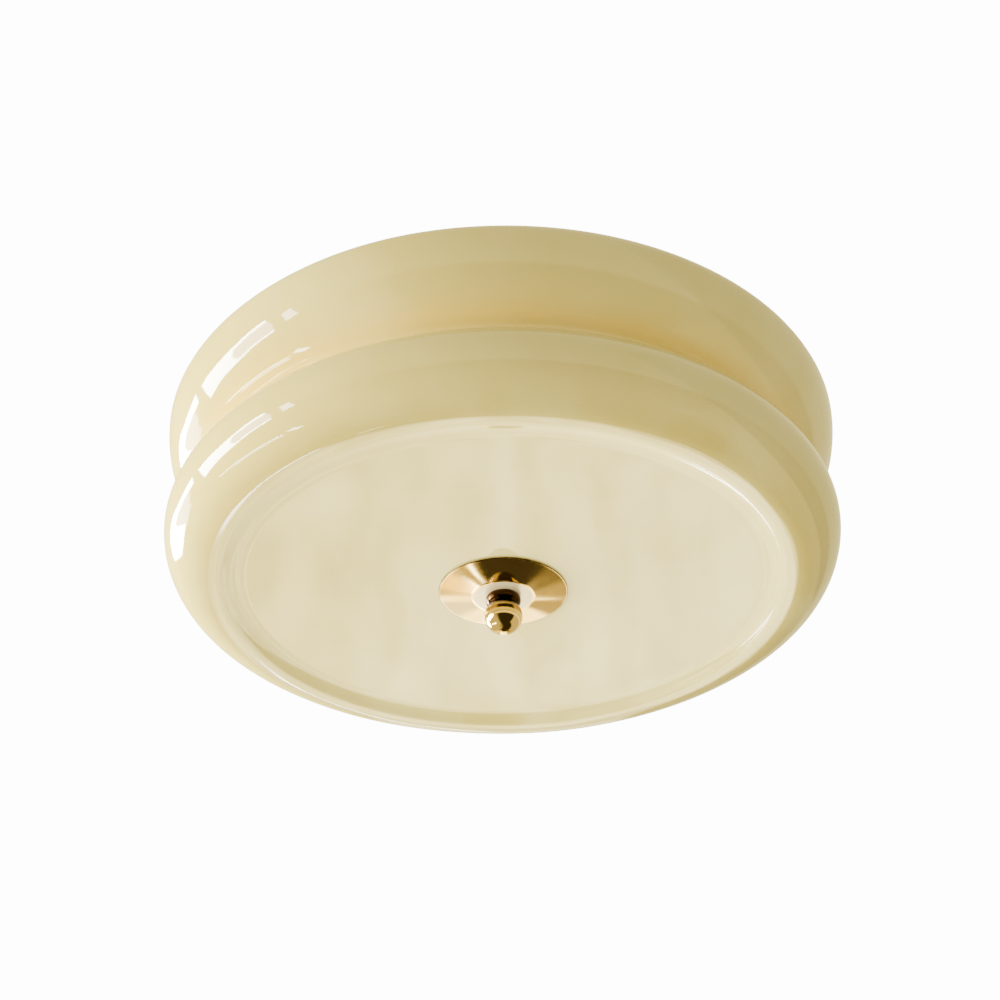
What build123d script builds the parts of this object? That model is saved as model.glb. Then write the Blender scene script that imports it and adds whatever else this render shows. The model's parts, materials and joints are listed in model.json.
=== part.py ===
from build123d import *
from math import atan2, cos, degrees, pi, radians, sin, sqrt, tan
import os

# A flush ceiling light. An opal glass shade of two stacked rolls hangs by a brass
# finial from a threaded rod, below a steel pan that carries three lampholders.
# The origin is the middle of the mounting bracket's ceiling face, +Z is up, and the
# light hangs below it. Lengths are in millimetres, angles in degrees.

# Glass shade, with heights counted up from its lowest ring
glass_wall = 4.5
ceiling_gap = 3.0
lower_roll_radius = 200.0
lower_roll_under = 26.9
lower_roll_over = 20.5
upper_roll_spread = 4.0
upper_roll_under = 44.8
upper_roll_over = 10.9
waist_depth = 21.3
waist_round = 7.0
ring_flat = 4.1
ring_round = 18.0
panel_band = 19.0
recess_depth = 3.0
shoulder_flat = 11.1
neck_round = 5.0
neck_straight = 3.9
rim_bevel = 0.8
shade_hole = 6.5

# Brass cap and finial
cap_radius = 38.0
cap_depth = 4.0
cap_flat = 10.0
cap_sheet = 0.8
cap_edge = 1.0
cap_gap = 0.3
bead_radius = 10.4
bead_round = 4.5
bead_drop = 6.2
ball_radius = 11.1
ball_drop = 17.0
finial_bite = 11.6
finial_spare = 2.0

# Threaded rod and what clamps on it
rod_radius = 5.0
rod_bore = 3.5
rod_above_nut = 1.5
thread_gap = 0.05
loose_gap = 0.3
rod_nut_flats = 17.0
rod_nut_height = 5.0
rod_washer_radius = 11.0
rod_washer_sheet = 1.5
gasket_sheet = 2.0
gasket_radius = 15.0
bush_gap = 0.5

# Ceiling pan
pan_clearance = 9.5
pan_depth = 22.0
pan_sheet = 1.0
pan_flange = 6.0
pan_draft = 5.0
pan_bend = 3.0
bead_band = 32.0
bead_width = 8.0
bead_rise = 2.0

# Mounting bracket and its studs
bar_length = 160.0
bar_width = 22.0
bar_sheet = 1.5
bar_drop = 4.0
bar_flat = 100.0
bar_joggle = 6.0
bar_bend = 2.0
cable_hole = 6.0
slot_spacing = 70.0
slot_length = 22.0
slot_width = 5.0
stud_spacing = 130.0
m4_radius = 2.0
m4_gap = 0.2
m4_flats = 7.0
m4_nut_height = 3.2
m4_head_radius = 3.6
m4_head_height = 2.2
stud_length = 24.5
stud_washer_radius = 4.5
stud_washer_sheet = 0.8
cap_nut_hex = 3.5

# Lampholders, each along its own axis from its back face
lamp_angles = (30.0, 150.0, 270.0)
lamp_level = -66.0
lamp_back = 24.0
holder_length = 46.0
holder_base_radius = 19.0
holder_waist_radius = 16.5
holder_skirt_radius = 20.5
holder_base_length = 15.0
holder_step = 5.0
holder_floor = 16.0
shell_radius = 13.6
shell_sheet = 0.5
shell_gap = 0.2
contact_sheet = 0.6
contact_width = 6.0
contact_rise = 3.0
contact_foot = 3.6
shell_recess = 0.8
terminal_side = 16.5
terminal_ledge = 5.0
terminal_depth = 9.5
terminal_start = 3.0
terminal_length = 10.0
terminal_inner = 13.5
terminal_screw_depth = 5.6
terminal_screw_radius = 1.25
terminal_screw_length = 4.0
terminal_head_radius = 1.8
terminal_head_height = 1.4

# Brackets that hang the lampholders from the pan
leg_width = 22.0
leg_sheet = 1.5
leg_bend = 3.0
leg_below_axis = 15.0
leg_foot = 28.0
m3_radius = 1.5
m3_gap = 0.15
m3_flats = 5.5
m3_nut_height = 2.4
m3_head_radius = 2.9
m3_head_height = 1.8
holder_screw_side = 7.0
holder_screw_depth = 8.0
foot_screw_side = 7.0
foot_screw_reach = 20.0
shank_proud = 0.4

# Bulbs, each 45 mm across and 78 mm long on an E27 base
bulb_length = 78.0
globe_radius = 22.5
globe_wall = 1.2
base_radius = 13.1
base_wall = 0.6
mouth_gap = 0.4
insulator_height = 4.0
insulator_tip = 6.0
tip_radius = 4.8
tip_height = 1.5
contact_gap = 0.3
housing_mouth = 20.8
housing_wall = 1.6
globe_seat = 11.0

# Terminal block, earth point, bushings and wires above and through the pan
block_place = 78.0
block_width = 46.0
block_depth = 20.0
block_round = 2.0
block_base = 8.6
block_height = 14.0
block_screw_side = 19.5
pole_pitch = 11.0
pole_length = 13.0
pole_width = 8.6
port_width = 8.4
port_depth = 4.0
port_height = 7.0
port_floor = 0.7
insert_radius = 2.6
insert_bore = 1.6
insert_gap = 0.1
pole_screw_radius = 1.4
pole_screw_spacing = 6.0
pole_screw_sink = 1.5
earth_place = (46.0, 56.0)
lug_sheet = 0.8
lug_radius = 4.4
lug_barrel = 1.9
lug_barrel_length = 7.0
bushing_flange = 4.4
bushing_sleeve = 3.4
bushing_bore = 2.4
bushing_head = 1.4
bushing_lip = 0.8
wire_radius = 1.1
wire_pitch = 2.4
live_rise = 3.4
neutral_rise = 6.4
wire_exit = 8.0
turn_share = 0.45

# Centres of the shade's arcs, as radius and height above its lowest ring
upper_roll_radius = lower_roll_radius + upper_roll_spread
under_centre = Vector(lower_roll_radius - lower_roll_under, lower_roll_under)
over_centre = Vector(lower_roll_radius - lower_roll_over, lower_roll_under)
waist_middle = lower_roll_radius - waist_depth + waist_round
over_rise = sqrt((lower_roll_over + waist_round) ** 2 - (waist_middle - over_centre.X) ** 2)
waist_centre = Vector(waist_middle, over_centre.Y + over_rise)
belly_radius = upper_roll_radius - upper_roll_under
belly_rise = sqrt((upper_roll_under + waist_round) ** 2 - (waist_middle - belly_radius) ** 2)
belly_centre = Vector(belly_radius, waist_centre.Y + belly_rise)
crown_centre = Vector(upper_roll_radius - upper_roll_over, belly_centre.Y)
shoulder_height = crown_centre.Y + upper_roll_over
neck_centre = Vector(crown_centre.X - shoulder_flat, shoulder_height + neck_round)
neck_radius = neck_centre.X - neck_round
shade_height = neck_centre.Y + neck_straight
ring_radius = under_centre.X - ring_flat
panel_radius = ring_radius - panel_band
dish_round = (panel_band**2 + recess_depth**2) / (2 * recess_depth) - ring_round
ring_centre = Vector(ring_radius, ring_round)
dish_centre = Vector(panel_radius, recess_depth - dish_round)
dish_turn = degrees(atan2(panel_band, ring_centre.Y - dish_centre.Y))
over_turn = degrees(atan2(over_rise, waist_middle - over_centre.X))
belly_turn = degrees(atan2(belly_rise, waist_middle - belly_radius))

# Levels and places that follow from the sizes above
shade_floor = -(ceiling_gap + shade_height)
panel_face = shade_floor + recess_depth
panel_top = panel_face + glass_wall
cap_face = panel_face - cap_depth
pan_radius = neck_radius - glass_wall - pan_clearance
wall_foot = pan_radius - pan_flange - pan_draft
bead_outer = wall_foot - bead_band
web_under = -pan_depth
web_top = web_under + pan_sheet
rod_top = web_top + rod_washer_sheet + rod_nut_height + rod_above_nut
rod_end = cap_face - finial_bite
stop_face = panel_top + gasket_sheet
thread_hole = rod_radius + thread_gap
loose_hole = rod_radius + loose_gap
bar_top = -bar_drop
contact_top = holder_floor + contact_rise + contact_sheet
bulb_tip = contact_top + contact_gap
earth_rise = lug_barrel
shade_plane = Plane(origin=(0, 0, shade_floor), x_dir=(1, 0, 0), z_dir=(0, -1, 0))
block_front = block_place - block_depth / 2
port_level = web_top + port_floor + port_height / 2
stud_places = [(side * stud_spacing / 2, 0) for side in (-1, 1)]
block_screw_places = [(side * block_screw_side, block_place) for side in (-1, 1)]
pole_places = [(pole * pole_pitch, block_place) for pole in (-1, 0, 1)]


def lamp_plane(angle):
    """The plane of a lampholder's back face: Z runs outwards along it and Y is up."""
    out = (cos(radians(angle)), sin(radians(angle)), 0)
    aside = (-out[1], out[0], 0)
    return Plane(origin=(lamp_back * out[0], lamp_back * out[1], lamp_level), x_dir=aside, z_dir=out)


def terminal_place(angle, side):
    """The point above a lampholder's terminal, on its side 1 or -1, seen from above."""
    point = lamp_plane(angle).from_local_coords(Vector(side * terminal_side, 0, terminal_depth))
    return (point.X, point.Y)


def foot_place(angle, side):
    """The place of one screw of a lamp bracket's foot, on its side 1 or -1."""
    point = lamp_plane(angle).from_local_coords(Vector(side * foot_screw_side, 0, foot_screw_reach))
    return (point.X, point.Y)


lamp_planes = [lamp_plane(angle) for angle in lamp_angles]
sides = (1, -1)
bushing_places = [terminal_place(angle, side) for angle in lamp_angles for side in sides]
foot_places = [foot_place(angle, side) for angle in lamp_angles for side in sides]


def save(node, piece):
    """Labels a finished piece and writes it under its node's name."""
    piece.label = node
    export_step(piece, f"parts/{node}.step")


def ring(inner, outer, height):
    """A flat ring that stands on z = 0."""
    with BuildPart() as body:
        with BuildSketch():
            Circle(outer)
            Circle(inner, mode=Mode.SUBTRACT)
        extrude(amount=height)
    return body.part


def hex_nut(hole, flats, height):
    """A hexagon nut that stands on z = 0."""
    with BuildPart() as body:
        with BuildSketch():
            RegularPolygon(flats / 2, 6, major_radius=False)
            Circle(hole, mode=Mode.SUBTRACT)
        extrude(amount=height)
    return body.part


def round_screw(radius, length, head_radius, head_height):
    """A round-headed screw: its head stands on z = 0 and its shank hangs below."""
    with BuildPart() as body:
        with BuildSketch():
            Circle(head_radius)
        extrude(amount=head_height)
        fillet(body.faces().sort_by(Axis.Z)[-1].edges(), head_height / 2)
        with BuildSketch():
            Circle(radius)
        extrude(amount=-length)
    return body.part


def shade_outline(depth):
    """Draws the shade from its hole to its rim, at a depth inside its outer face."""
    shoulder = shoulder_height - depth
    Line((shade_hole, recess_depth + depth), (panel_radius, recess_depth + depth))
    CenterArc(dish_centre, dish_round + depth, 90, -dish_turn)
    CenterArc(ring_centre, ring_round - depth, -90 - dish_turn, dish_turn)
    Line((ring_radius, depth), (under_centre.X, depth))
    CenterArc(under_centre, lower_roll_under - depth, -90, 90)
    CenterArc(over_centre, lower_roll_over - depth, 0, over_turn)
    CenterArc(waist_centre, waist_round + depth, 180 + over_turn, -over_turn - belly_turn)
    CenterArc(belly_centre, upper_roll_under - depth, -belly_turn, belly_turn)
    CenterArc(crown_centre, upper_roll_over - depth, 0, 90)
    Line((crown_centre.X, shoulder), (neck_centre.X, shoulder))
    CenterArc(neck_centre, neck_round + depth, -90, -90)
    Line((neck_radius - depth, neck_centre.Y), (neck_radius - depth, shade_height))


os.makedirs("parts", exist_ok=True)

# Glass shade: one wall of blown glass, open at the top, with a hole for the rod
with BuildPart() as glass_shade:
    with BuildSketch(shade_plane):
        with BuildLine():
            shade_outline(0)
            shade_outline(glass_wall)
            Line((shade_hole, recess_depth), (shade_hole, recess_depth + glass_wall))
            Line((neck_radius, shade_height), (neck_radius - glass_wall, shade_height))
        make_face()
    revolve(axis=Axis.Z)
    chamfer(glass_shade.faces().sort_by(Axis.Z)[-1].edges(), rim_bevel)
save("glass_shade", glass_shade.part)

# Silicone bush: its flange lies on the glass and its sleeve lines the hole
with BuildPart() as shade_bush:
    with BuildSketch(Plane.XY.offset(panel_top)):
        Circle(gasket_radius)
        Circle(loose_hole, mode=Mode.SUBTRACT)
    extrude(amount=gasket_sheet)
    with BuildSketch(Plane.XY.offset(panel_top)):
        Circle(shade_hole - thread_gap)
        Circle(loose_hole, mode=Mode.SUBTRACT)
    extrude(amount=bush_gap - glass_wall)
save("shade_bush", shade_bush.part)

# Silicone gasket between the glass and the flat middle of the cap
with BuildPart() as cap_gasket:
    with BuildSketch(Plane.XY.offset(cap_face + cap_sheet)):
        Circle(cap_flat - loose_gap)
        Circle(loose_hole, mode=Mode.SUBTRACT)
    extrude(amount=cap_depth - cap_sheet)
save("cap_gasket", cap_gasket.part)

# Brass cap: a shallow cone of sheet, its middle flat and its edge turned up to the glass
with BuildPart() as brass_cap:
    foot = Vector(cap_radius - cap_edge, -cap_gap - cap_edge)
    cap_slope = atan2(foot.Y + cap_depth, foot.X - cap_flat)
    brow = foot + Vector(-sin(cap_slope), cos(cap_slope)) * cap_sheet
    with BuildSketch(Plane(origin=(0, 0, panel_face), x_dir=(1, 0, 0), z_dir=(0, -1, 0))):
        with BuildLine():
            Polyline(
                (loose_hole, -cap_depth),
                (cap_flat, -cap_depth),
                foot,
                (cap_radius, foot.Y + cap_edge / 2),
                (cap_radius, -cap_gap),
                (cap_radius - cap_sheet, -cap_gap),
                brow,
                (cap_flat - cap_sheet * tan(cap_slope / 2), cap_sheet - cap_depth),
                (loose_hole, cap_sheet - cap_depth),
                close=True,
            )
        make_face()
    revolve(axis=Axis.Z)
save("brass_cap", brass_cap.part)

# Finial: a rounded collar and a ball turned in one piece, bored for the rod
with BuildPart() as finial:
    with BuildSketch(Plane(origin=(0, 0, panel_face), x_dir=(1, 0, 0), z_dir=(0, -1, 0))):
        with Locations((0, -ball_drop)):
            Circle(ball_radius)
        with Locations((bead_radius - bead_round, -bead_drop)):
            Circle(bead_round)
        with Locations((0, -cap_depth)):
            Rectangle(
                2 * (bead_radius - bead_round),
                ball_drop - cap_depth,
                align=(Align.CENTER, Align.MAX),
            )
        with Locations((0, -cap_depth)):
            Rectangle(
                ball_radius,
                ball_drop + ball_radius,
                align=(Align.MIN, Align.MAX),
                mode=Mode.INTERSECT,
            )
    revolve(axis=Axis.Z)
    with BuildSketch(Plane.XY.offset(cap_face)):
        Circle(thread_hole)
    extrude(amount=-finial_bite - finial_spare, mode=Mode.SUBTRACT)
save("finial", finial.part)

# Threaded rod, a hollow one, from above the pan to inside the finial
with BuildPart() as centre_rod:
    with BuildSketch(Plane.XY.offset(rod_end)):
        Circle(rod_radius)
        Circle(rod_bore, mode=Mode.SUBTRACT)
    extrude(amount=rod_top - rod_end)
save("centre_rod", centre_rod.part)

# Nuts and washers that clamp the rod to the pan, and the stop above the glass
rod_nut = hex_nut(thread_hole, rod_nut_flats, rod_nut_height)
rod_washer = ring(loose_hole, rod_washer_radius, rod_washer_sheet)
with BuildPart() as rod_washers:
    with Locations((0, 0, web_top), (0, 0, web_under - rod_washer_sheet)):
        add(rod_washer)
save("rod_washers", rod_washers.part)

with BuildPart() as rod_nuts:
    with Locations(
        (0, 0, web_top + rod_washer_sheet),
        (0, 0, web_under - rod_washer_sheet - rod_nut_height),
    ):
        add(rod_nut)
save("rod_nuts", rod_nuts.part)

with BuildPart() as stop_washer:
    with Locations((0, 0, stop_face)):
        add(rod_washer)
save("stop_washer", stop_washer.part)

with BuildPart() as stop_nut:
    with Locations((0, 0, stop_face + rod_washer_sheet)):
        add(rod_nut)
save("stop_nut", stop_nut.part)

# Ceiling pan: a pressed dish with a flat flange and a stiffening bead round its web
with BuildPart() as ceiling_pan:
    with BuildSketch(Plane.XZ):
        with BuildLine():
            FilletPolyline(
                (pan_radius, 0),
                (pan_radius - pan_flange, 0),
                (wall_foot, web_top + bead_rise),
                (bead_outer, web_top + bead_rise),
                (bead_outer - bead_width, web_top),
                (thread_hole, web_top),
                radius=pan_bend,
            )
            offset(amount=pan_sheet, side=Side.LEFT)
        make_face()
    revolve(axis=Axis.Z)
    with BuildSketch(Plane.XY.offset(web_top)):
        with Locations(*stud_places, earth_place):
            Circle(m4_radius + m4_gap)
        with Locations(*foot_places, *block_screw_places):
            Circle(m3_radius + m3_gap)
        with Locations(*bushing_places):
            Circle(bushing_sleeve + thread_gap)
    extrude(amount=-pan_sheet, mode=Mode.SUBTRACT)
save("ceiling_pan", ceiling_pan.part)

# Mounting bracket: a bar screwed to the ceiling through two slots, its ends set down
with BuildPart() as mounting_bracket:
    with BuildSketch(Plane.XZ):
        with BuildLine():
            FilletPolyline(
                (-bar_length / 2, bar_top),
                (-bar_flat / 2 - bar_joggle, bar_top),
                (-bar_flat / 2, 0),
                (bar_flat / 2, 0),
                (bar_flat / 2 + bar_joggle, bar_top),
                (bar_length / 2, bar_top),
                radius=bar_bend,
            )
            offset(amount=bar_sheet, side=Side.RIGHT)
        make_face()
    extrude(amount=bar_width / 2, both=True)
    fillet(mounting_bracket.edges().filter_by(Axis.Z), bar_width / 4)
    with BuildSketch(Plane.XY):
        Circle(cable_hole)
        with Locations((-slot_spacing / 2, 0), (slot_spacing / 2, 0)):
            SlotOverall(slot_length, slot_width)
    extrude(amount=-bar_sheet, mode=Mode.SUBTRACT)
    with BuildSketch(Plane.XY.offset(bar_top)):
        with Locations(*stud_places):
            Circle(m4_radius + thread_gap)
    extrude(amount=-bar_sheet, mode=Mode.SUBTRACT)
save("mounting_bracket", mounting_bracket.part)

# Two studs hang from the bracket, locked by nuts, and carry the pan on cap nuts
stud = round_screw(m4_radius, stud_length, m4_head_radius, m4_head_height)
with BuildPart() as bracket_studs:
    with Locations(*[(x, y, bar_top) for x, y in stud_places]):
        add(stud)
save("bracket_studs", bracket_studs.part)

m4_nut = hex_nut(m4_radius + thread_gap, m4_flats, m4_nut_height)
with BuildPart() as stud_locknuts:
    with Locations(*[(x, y, bar_top - bar_sheet - m4_nut_height) for x, y in stud_places]):
        add(m4_nut)
save("stud_locknuts", stud_locknuts.part)

stud_washer = ring(m4_radius + m4_gap, stud_washer_radius, stud_washer_sheet)
with BuildPart() as stud_washers:
    with Locations(*[(x, y, web_under - stud_washer_sheet) for x, y in stud_places]):
        add(stud_washer)
save("stud_washers", stud_washers.part)

cap_nut_top = web_under - stud_washer_sheet
stud_end = bar_top - stud_length
with BuildPart() as cap_nut:
    with BuildSketch():
        RegularPolygon(m4_flats / 2, 6, major_radius=False)
    extrude(amount=-cap_nut_hex)
    with Locations((0, 0, -cap_nut_hex)):
        Sphere(m4_flats / 2)
    with BuildSketch():
        Circle(m4_radius + thread_gap)
    extrude(amount=stud_end - cap_nut_top - loose_gap, mode=Mode.SUBTRACT)

with BuildPart() as cap_nuts:
    with Locations(*[(x, y, cap_nut_top) for x, y in stud_places]):
        add(cap_nut.part)
save("cap_nuts", cap_nuts.part)

# Lamp bracket: an angle, its leg behind the lampholder and its foot under the pan
leg_top = web_under - lamp_level
with BuildPart() as lamp_bracket:
    with BuildSketch(Plane.YZ):
        with BuildLine():
            FilletPolyline(
                (-leg_below_axis, -leg_sheet),
                (leg_top, -leg_sheet),
                (leg_top, leg_foot),
                radius=leg_bend,
            )
            offset(amount=leg_sheet, side=Side.LEFT)
        make_face()
    extrude(amount=leg_width / 2, both=True)
    fillet(lamp_bracket.edges().filter_by(Axis.Z).group_by(Axis.Y)[0], leg_width / 4)
    fillet(lamp_bracket.edges().filter_by(Axis.Y).group_by(Axis.Z)[-1], leg_width / 6)
    with BuildSketch(Plane.XY):
        with Locations((-holder_screw_side, 0), (holder_screw_side, 0)):
            Circle(m3_radius + m3_gap)
    extrude(amount=-leg_sheet, mode=Mode.SUBTRACT)
    with BuildSketch(Plane.XZ.offset(-leg_top)):
        with Locations((-foot_screw_side, foot_screw_reach), (foot_screw_side, foot_screw_reach)):
            Circle(m3_radius + m3_gap)
    extrude(amount=leg_sheet, mode=Mode.SUBTRACT)

# Lampholder body: glazed ceramic, with a pocket on each side for a terminal
with BuildPart() as holder_body:
    with BuildSketch(Plane.XZ):
        with BuildLine():
            Polyline(
                (0, 0),
                (holder_base_radius, 0),
                (holder_base_radius, holder_base_length),
                (holder_waist_radius, holder_base_length + holder_step / 2),
                (holder_skirt_radius, holder_base_length + 2 * holder_step),
                (holder_skirt_radius, holder_length),
                (shell_radius + shell_sheet + shell_gap, holder_length),
                (shell_radius + shell_sheet + shell_gap, holder_floor),
                (0, holder_floor),
                close=True,
            )
        make_face()
    revolve(axis=Axis.Z)
    fillet(holder_body.faces().sort_by(Axis.Z)[-1].edges(), (holder_skirt_radius - shell_radius) / 6)
    with BuildSketch(Plane.XZ.offset(-terminal_ledge)):
        for side in sides:
            with Locations((side * terminal_inner, terminal_start)):
                Rectangle(holder_base_radius, terminal_length,
                          align=(Align.MIN if side > 0 else Align.MAX, Align.MIN))
    extrude(amount=-holder_base_radius, mode=Mode.SUBTRACT)
    with BuildSketch(Plane.XZ.offset(-terminal_ledge)):
        with Locations((-terminal_side, terminal_screw_depth), (terminal_side, terminal_screw_depth)):
            Circle(terminal_screw_radius + thread_gap)
    extrude(amount=terminal_screw_length + loose_gap, mode=Mode.SUBTRACT)
    with BuildSketch(Plane.XY):
        with Locations((-holder_screw_side, 0), (holder_screw_side, 0)):
            Circle(m3_radius + thread_gap)
    extrude(amount=holder_screw_depth, mode=Mode.SUBTRACT)

# Screw shell that takes the bulb's base
with BuildPart() as holder_shell:
    with BuildSketch(Plane.XY.offset(holder_floor + shell_gap)):
        Circle(shell_radius + shell_sheet)
        Circle(shell_radius, mode=Mode.SUBTRACT)
    extrude(amount=holder_length - holder_floor - shell_gap - shell_recess)

# Centre contact: a bronze strip that springs up from the holder's floor
with BuildPart() as holder_contact:
    with BuildSketch(Plane.XZ):
        with BuildLine():
            Polyline(
                (-contact_width - contact_foot, holder_floor),
                (-contact_width, holder_floor),
                (-contact_width / 2, holder_floor + contact_rise),
                (contact_width / 2, holder_floor + contact_rise),
            )
            offset(amount=contact_sheet, side=Side.LEFT)
        make_face()
    extrude(amount=contact_width / 2, both=True)

# Bulb: screw base, insulator, tip, plastic housing and opal globe
base_foot = bulb_tip + tip_height + insulator_height
globe_level = bulb_tip + bulb_length - globe_radius
housing_end = globe_level - globe_seat
housing_start = holder_length + mouth_gap
with BuildPart() as bulb_base:
    with BuildSketch(Plane.XY.offset(base_foot)):
        Circle(base_radius)
        Circle(base_radius - base_wall, mode=Mode.SUBTRACT)
    extrude(amount=housing_start - base_foot)

with BuildPart() as bulb_insulator:
    with BuildSketch(Plane.XZ):
        with BuildLine():
            Polyline(
                (0, base_foot - insulator_height),
                (insulator_tip, base_foot - insulator_height),
                (base_radius, base_foot),
                (base_radius - base_wall, base_foot),
                (0, base_foot),
                close=True,
            )
        make_face()
    revolve(axis=Axis.Z)

with BuildPart() as bulb_contact:
    with BuildSketch(Plane.XY.offset(bulb_tip)):
        Circle(tip_radius)
    extrude(amount=tip_height)
    fillet(bulb_contact.faces().sort_by(Axis.Z)[0].edges(), tip_height / 2)

with BuildPart() as bulb_housing:
    with BuildSketch(Plane.XZ):
        with BuildLine():
            Polyline(
                (base_radius - base_wall, housing_start),
                (base_radius + base_wall, housing_start),
                (housing_mouth, housing_end),
                (housing_mouth - housing_wall, housing_end),
                (base_radius - base_wall, housing_start + housing_wall),
                close=True,
            )
        make_face()
    revolve(axis=Axis.Z)

with BuildPart() as bulb_globe:
    globe_turn = degrees(atan2(globe_seat, sqrt(globe_radius**2 - globe_seat**2)))
    with BuildSketch(Plane.XZ):
        with BuildLine():
            outer = CenterArc((0, globe_level), globe_radius, 90, -90 - globe_turn)
            inner = CenterArc((0, globe_level), globe_radius - globe_wall, 90, -90 - globe_turn)
            Line(outer @ 0, inner @ 0)
            Line(outer @ 1, inner @ 1)
        make_face()
    revolve(axis=Axis.Z)

for number, plane in enumerate(lamp_planes, 1):
    for node, piece in (
        ("lamp_bracket", lamp_bracket),
        ("holder_body", holder_body),
        ("holder_shell", holder_shell),
        ("holder_contact", holder_contact),
        ("bulb_base", bulb_base),
        ("bulb_insulator", bulb_insulator),
        ("bulb_contact", bulb_contact),
        ("bulb_housing", bulb_housing),
        ("bulb_globe", bulb_globe),
    ):
        with BuildPart() as placed:
            with Locations(plane):
                add(piece.part)
        save(f"{node}_{number}", placed.part)

# Screws that hold the lampholders on their brackets, and their terminal screws
holder_shank = leg_sheet + holder_screw_depth - loose_gap
holder_screw = round_screw(m3_radius, holder_shank, m3_head_radius, m3_head_height)
with BuildPart() as holder_screws:
    for plane in lamp_planes:
        behind = Plane(plane.from_local_coords(Vector(0, 0, -leg_sheet)), plane.x_dir, -plane.z_dir)
        with Locations(behind):
            with Locations((-holder_screw_side, 0), (holder_screw_side, 0)):
                add(holder_screw)
save("holder_screws", holder_screws.part)

terminal_screw = round_screw(
    terminal_screw_radius, terminal_screw_length, terminal_head_radius, terminal_head_height
)
with BuildPart() as terminal_screws:
    for plane in lamp_planes:
        for side in sides:
            spot = Vector(side * terminal_side, terminal_ledge, terminal_screw_depth)
            with Locations(plane.from_local_coords(spot)):
                add(terminal_screw)
save("terminal_screws", terminal_screws.part)

# Screws through the feet of the lamp brackets and the terminal block, with their nuts
foot_screw_length = leg_sheet + pan_sheet + m3_nut_height + shank_proud
foot_screw = round_screw(m3_radius, foot_screw_length, m3_head_radius, m3_head_height)
with BuildPart() as foot_screws:
    for x, y in foot_places:
        with Locations(Plane((x, y, web_under - leg_sheet), (1, 0, 0), (0, 0, -1))):
            add(foot_screw)
save("foot_screws", foot_screws.part)

block_screw_length = block_base + pan_sheet + m3_nut_height + shank_proud
block_screw = round_screw(m3_radius, block_screw_length, m3_head_radius, m3_head_height)
with BuildPart() as block_screws:
    with Locations(*[(x, y, web_top + block_base) for x, y in block_screw_places]):
        add(block_screw)
save("block_screws", block_screws.part)

m3_nut = hex_nut(m3_radius + thread_gap, m3_flats, m3_nut_height)
with BuildPart() as pan_nuts:
    with Locations(*[(x, y, web_top) for x, y in foot_places]):
        add(m3_nut)
    with Locations(*[(x, y, web_under - m3_nut_height) for x, y in block_screw_places]):
        add(m3_nut)
save("pan_nuts", pan_nuts.part)

# Terminal block: three poles, each with a port on both sides and two clamp screws
screw_spots = [(x, y + side * pole_screw_spacing / 2) for x, y in pole_places for side in sides]
with BuildPart() as terminal_block:
    with BuildSketch(Plane.XY.offset(web_top)):
        with Locations((0, block_place)):
            RectangleRounded(block_width, block_depth, block_round)
    extrude(amount=block_base)
    with BuildSketch(Plane.XY.offset(web_top)):
        with Locations(*pole_places):
            SlotOverall(pole_length, pole_width, rotation=90)
    extrude(amount=block_height)
    for side in sides:
        with BuildSketch(Plane.XZ.offset(side * block_depth / 2 - block_place)):
            with Locations(*[(x, port_level) for x, y in pole_places]):
                Rectangle(port_width, port_height)
        extrude(amount=-side * port_depth, mode=Mode.SUBTRACT)
    with BuildSketch(Plane.XZ.offset(-block_place)):
        with Locations(*[(x, port_level) for x, y in pole_places]):
            Circle(insert_radius + insert_gap)
    extrude(amount=block_depth / 2, both=True, mode=Mode.SUBTRACT)
    with BuildSketch(Plane.XY.offset(port_level)):
        with Locations(*screw_spots):
            Circle(pole_screw_radius + insert_gap)
    extrude(amount=block_height, mode=Mode.SUBTRACT)
    with BuildSketch(Plane.XY.offset(web_top)):
        with Locations(*block_screw_places):
            Circle(m3_radius + m3_gap)
    extrude(amount=block_base, mode=Mode.SUBTRACT)
save("terminal_block", terminal_block.part)

with BuildPart() as pole_inserts:
    with BuildSketch(Plane.XZ.offset(-block_place)):
        with Locations(*[(x, port_level) for x, y in pole_places]):
            Circle(insert_radius)
            Circle(insert_bore, mode=Mode.SUBTRACT)
    extrude(amount=block_depth / 2 - port_depth, both=True)
    with BuildSketch(Plane.XY.offset(port_level)):
        with Locations(*screw_spots):
            Circle(pole_screw_radius + thread_gap)
    extrude(amount=insert_radius, mode=Mode.SUBTRACT)
save("pole_inserts", pole_inserts.part)

with BuildPart() as pole_screws:
    with BuildSketch(Plane.XY.offset(port_level)):
        with Locations(*screw_spots):
            Circle(pole_screw_radius)
    extrude(amount=web_top + block_height - pole_screw_sink - port_level)
save("pole_screws", pole_screws.part)

# Earth point: a ring lug under a screw through the pan
earth_x, earth_y = earth_place
with BuildPart() as earth_lug:
    with BuildSketch(Plane.XY.offset(web_top)):
        with Locations(earth_place):
            Circle(lug_radius)
        with Locations((earth_x - lug_radius, earth_y)):
            Rectangle(lug_radius, 2 * lug_barrel, align=(Align.MIN, Align.CENTER))
        with Locations(earth_place):
            Circle(m4_radius + m4_gap, mode=Mode.SUBTRACT)
    extrude(amount=lug_sheet)
    with BuildSketch(Plane.YZ.offset(earth_x - lug_radius)):
        with Locations((earth_y, web_top + lug_barrel)):
            Circle(lug_barrel)
    extrude(amount=-lug_barrel_length)
save("earth_lug", earth_lug.part)

earth_shank = lug_sheet + pan_sheet + m4_nut_height + shank_proud
earth_bolt = round_screw(m4_radius, earth_shank, m4_head_radius, m4_head_height)
with BuildPart() as earth_screw:
    with Locations((earth_x, earth_y, web_top + lug_sheet)):
        add(earth_bolt)
save("earth_screw", earth_screw.part)

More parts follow.
